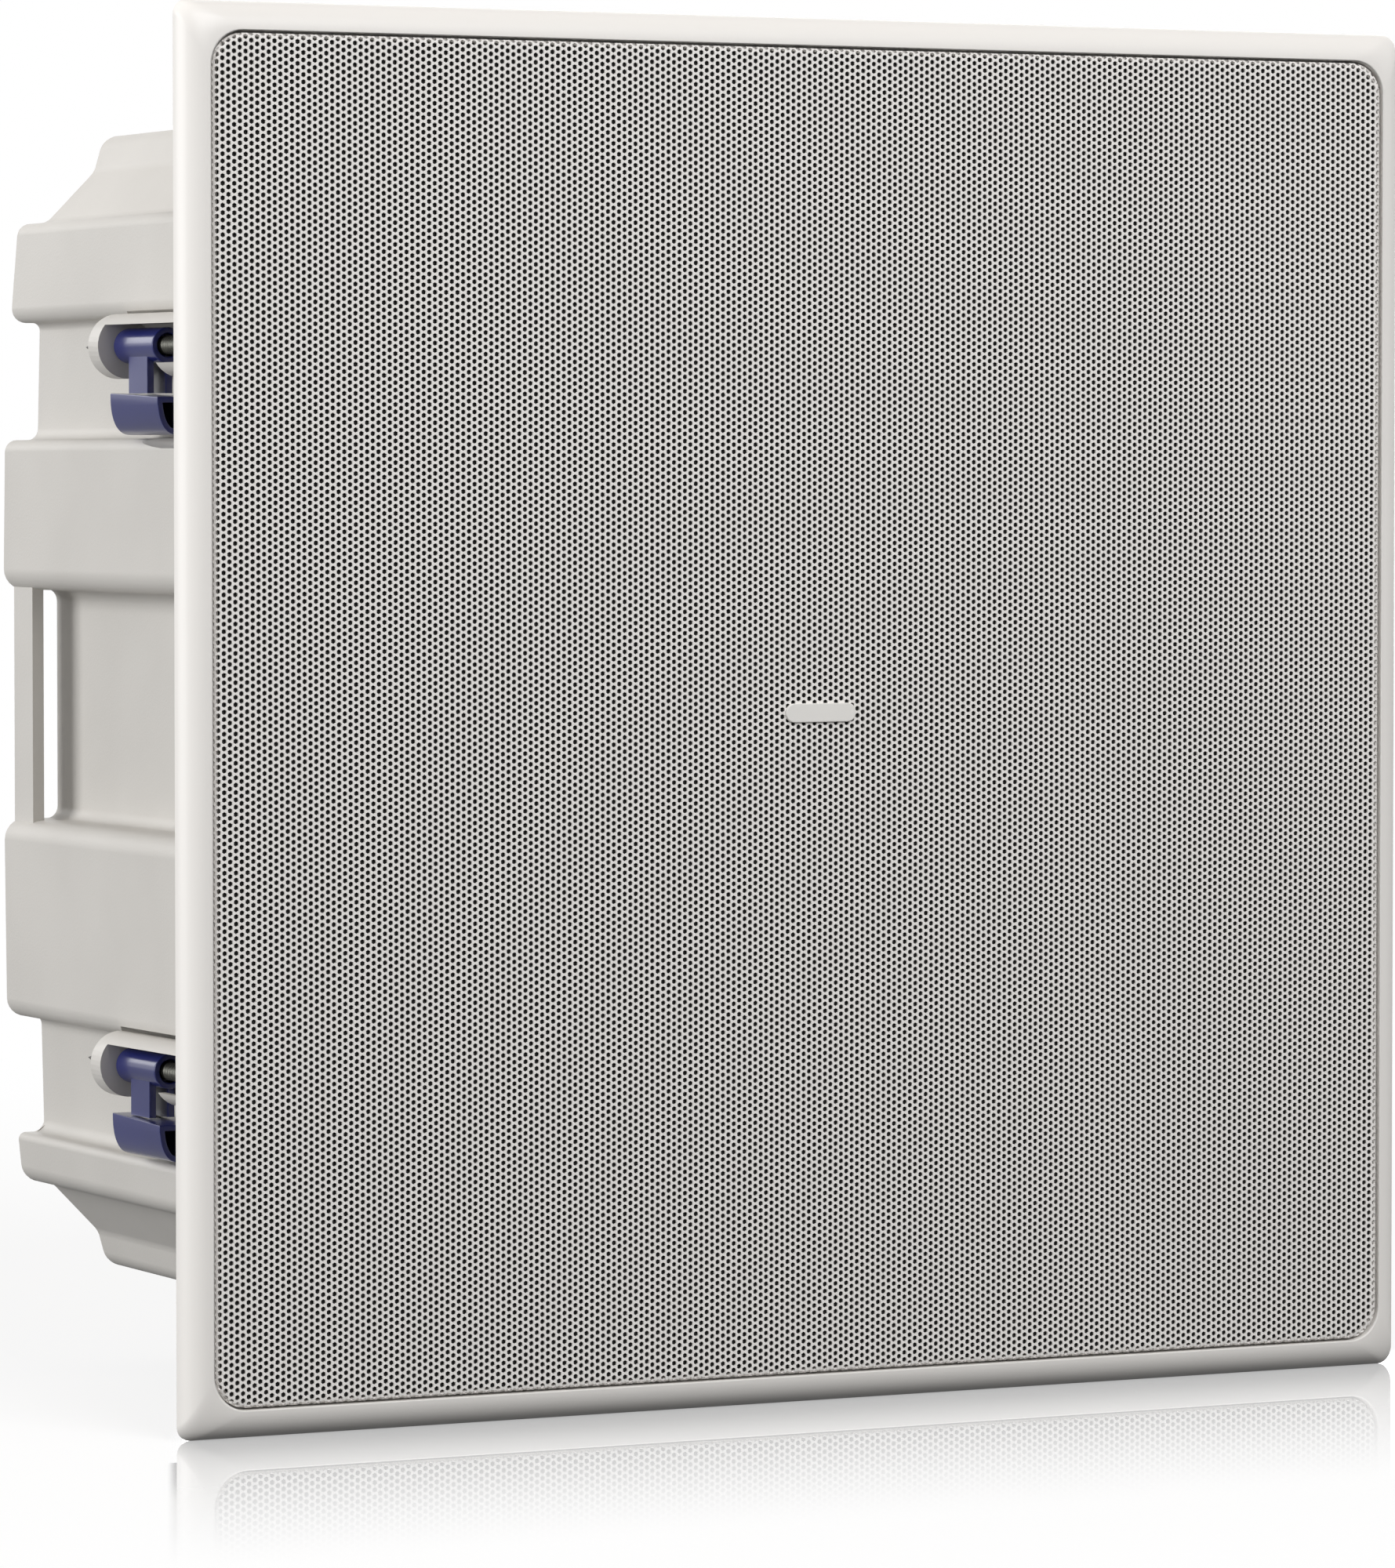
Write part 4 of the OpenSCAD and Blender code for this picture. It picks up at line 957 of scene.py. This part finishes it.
def floorMaterial():
    # white gloss sheet, lit until it merges with the background, and clear from below
    material = bpy.data.materials.new("white gloss floor")
    material.use_nodes = True
    tree = material.node_tree
    tree.nodes.clear()
    place = addNode(tree, "TexCoord").outputs["Object"]
    ray, seen = raysThatSeeWhite(tree)
    colour = addNode(tree, "Mix", {"Factor": ray.outputs["Is Camera Ray"], 6: linear(glow["matt"]),
                                   7: linear("#FFFFFF")}, data_type="RGBA")
    matt = addNode(tree, "BsdfDiffuse", {"Color": colour.outputs[2]})
    white = addNode(tree, "Emission", {"Color": linear("#FFFFFF"), "Strength": 1.0})
    away = addNode(tree, "VectorMath", {0: place}, operation="LENGTH")
    far = addNode(tree, "MapRange", {"Value": away.outputs["Value"], "From Min": glow["near"],
                                     "From Max": glow["far"], "To Min": glow["nearShare"],
                                     "To Max": 1.0}, interpolation_type="SMOOTHSTEP")
    bright = addNode(tree, "Math", {0: ray.outputs["Is Glossy Ray"], 1: glow["reflected"],
                                    2: seen}, operation="MULTIPLY_ADD")
    share = addNode(tree, "Math", {0: bright.outputs[0], 1: far.outputs["Result"]},
                    operation="MULTIPLY")
    pale = addNode(tree, "MixShader", {0: share.outputs[0], 1: matt.outputs[0],
                                       2: white.outputs[0]})
    gloss = addNode(tree, "BsdfGlossy", {"Color": linear("#FFFFFF"),
                                         "Roughness": polish["roughness"]})
    sheen = addNode(tree, "Math", {0: polishShare(tree, place), 1: ray.outputs["Is Camera Ray"]},
                    operation="MULTIPLY")
    above = addNode(tree, "MixShader", {0: sheen.outputs[0], 1: pale.outputs[0],
                                        2: gloss.outputs[0]})
    clear = addNode(tree, "BsdfTransparent")
    both = addNode(tree, "MixShader", {0: addNode(tree, "NewGeometry").outputs["Backfacing"],
                                       1: above.outputs[0], 2: clear.outputs[0]})
    addNode(tree, "OutputMaterial", {"Surface": both.outputs[0]})
    return material


def makeFloor():
    bm = bmesh.new()
    bmesh.ops.create_grid(bm, x_segments=1, y_segments=1, size=studio["floorSize"] / 2)
    bmesh.ops.translate(bm, verts=bm.verts, vec=(0, 0, studio["floorLevel"] * mm))
    mesh = bpy.data.meshes.new("studioFloor")
    bm.to_mesh(mesh)
    bm.free()
    mesh.materials.append(floorMaterial())
    floor = bpy.data.objects.new("studioFloor", mesh)
    bpy.context.scene.collection.objects.link(floor)


def makeWorld():
    world = bpy.data.worlds.new("studioWorld")
    bpy.context.scene.world = world
    world.use_nodes = True
    tree = world.node_tree
    tree.nodes.clear()
    seen = raysThatSeeWhite(tree)[1]
    soft = addNode(tree, "Background", {"Color": linear("#FFFFFF"),
                                        "Strength": studio["worldLight"]})
    white = addNode(tree, "Background", {"Color": linear("#FFFFFF"), "Strength": 1.0})
    mix = addNode(tree, "MixShader", {0: seen, 1: soft.outputs[0], 2: white.outputs[0]})
    addNode(tree, "OutputWorld", {"Surface": mix.outputs[0]})


# softboxes: place, point aimed at, side of the square, watts, colour
softboxes = {
    "keySoftbox": [(0.1, -2.3, 1.7), (0, 0, 0), 1.6, 54, "#FFFFFF"],
    "leftSoftbox": [(-2.4, 0.2, 0.35), (0, 0.1, 0), 1.6, 47, "#FFFFFF"],
    "rearSoftbox": [(-0.95, 2.3, 0.8), (-0.17, 0.1, 0), 0.9, 4, "#FFFFFF"],
    "backSoftbox": [(1.7, 2.4, 0.7), (0, 0.1, 0), 1.6, 26, "#FFFFFF"],
    "topSoftbox": [(-0.5, -0.2, 2.4), (0, 0, 0), 1.4, 4, "#FFE6CC"],
    "rightSoftbox": [(2.4, -1.4, 0.8), (0, 0, 0), 1.6, 7, "#FFFFFF"],
}


def addSoftbox(name, place, aim, size, power, colour):
    lamp = bpy.data.lights.new(name, "AREA")
    lamp.shape = "SQUARE"
    lamp.size = size
    lamp.energy = power
    lamp.color = linear(colour)[:3]
    lampObject = bpy.data.objects.new(name, lamp)
    lampObject.location = place
    lampObject.rotation_euler = (Vector(aim) - Vector(place)).to_track_quat("-Z", "Y").to_euler()
    bpy.context.scene.collection.objects.link(lampObject)


def makeCamera():
    camera = bpy.data.cameras.new("photographCamera")
    camera.lens = studio["lens"]
    camera.sensor_width = 36
    camera.clip_end = 100
    cameraObject = bpy.data.objects.new("photographCamera", camera)
    cameraObject.location = Vector(studio["cameraPlace"]) * mm
    cameraObject.rotation_euler = (math.radians(90 + studio["pitch"]), 0,
                                   -math.radians(studio["yaw"]))
    bpy.context.scene.collection.objects.link(cameraObject)
    bpy.context.scene.camera = cameraObject


makeFloor()
makeWorld()
for softbox, values in softboxes.items():
    addSoftbox(softbox, *values)
makeCamera()
bpy.context.scene.view_settings.view_transform = "Standard"
print("studio made")
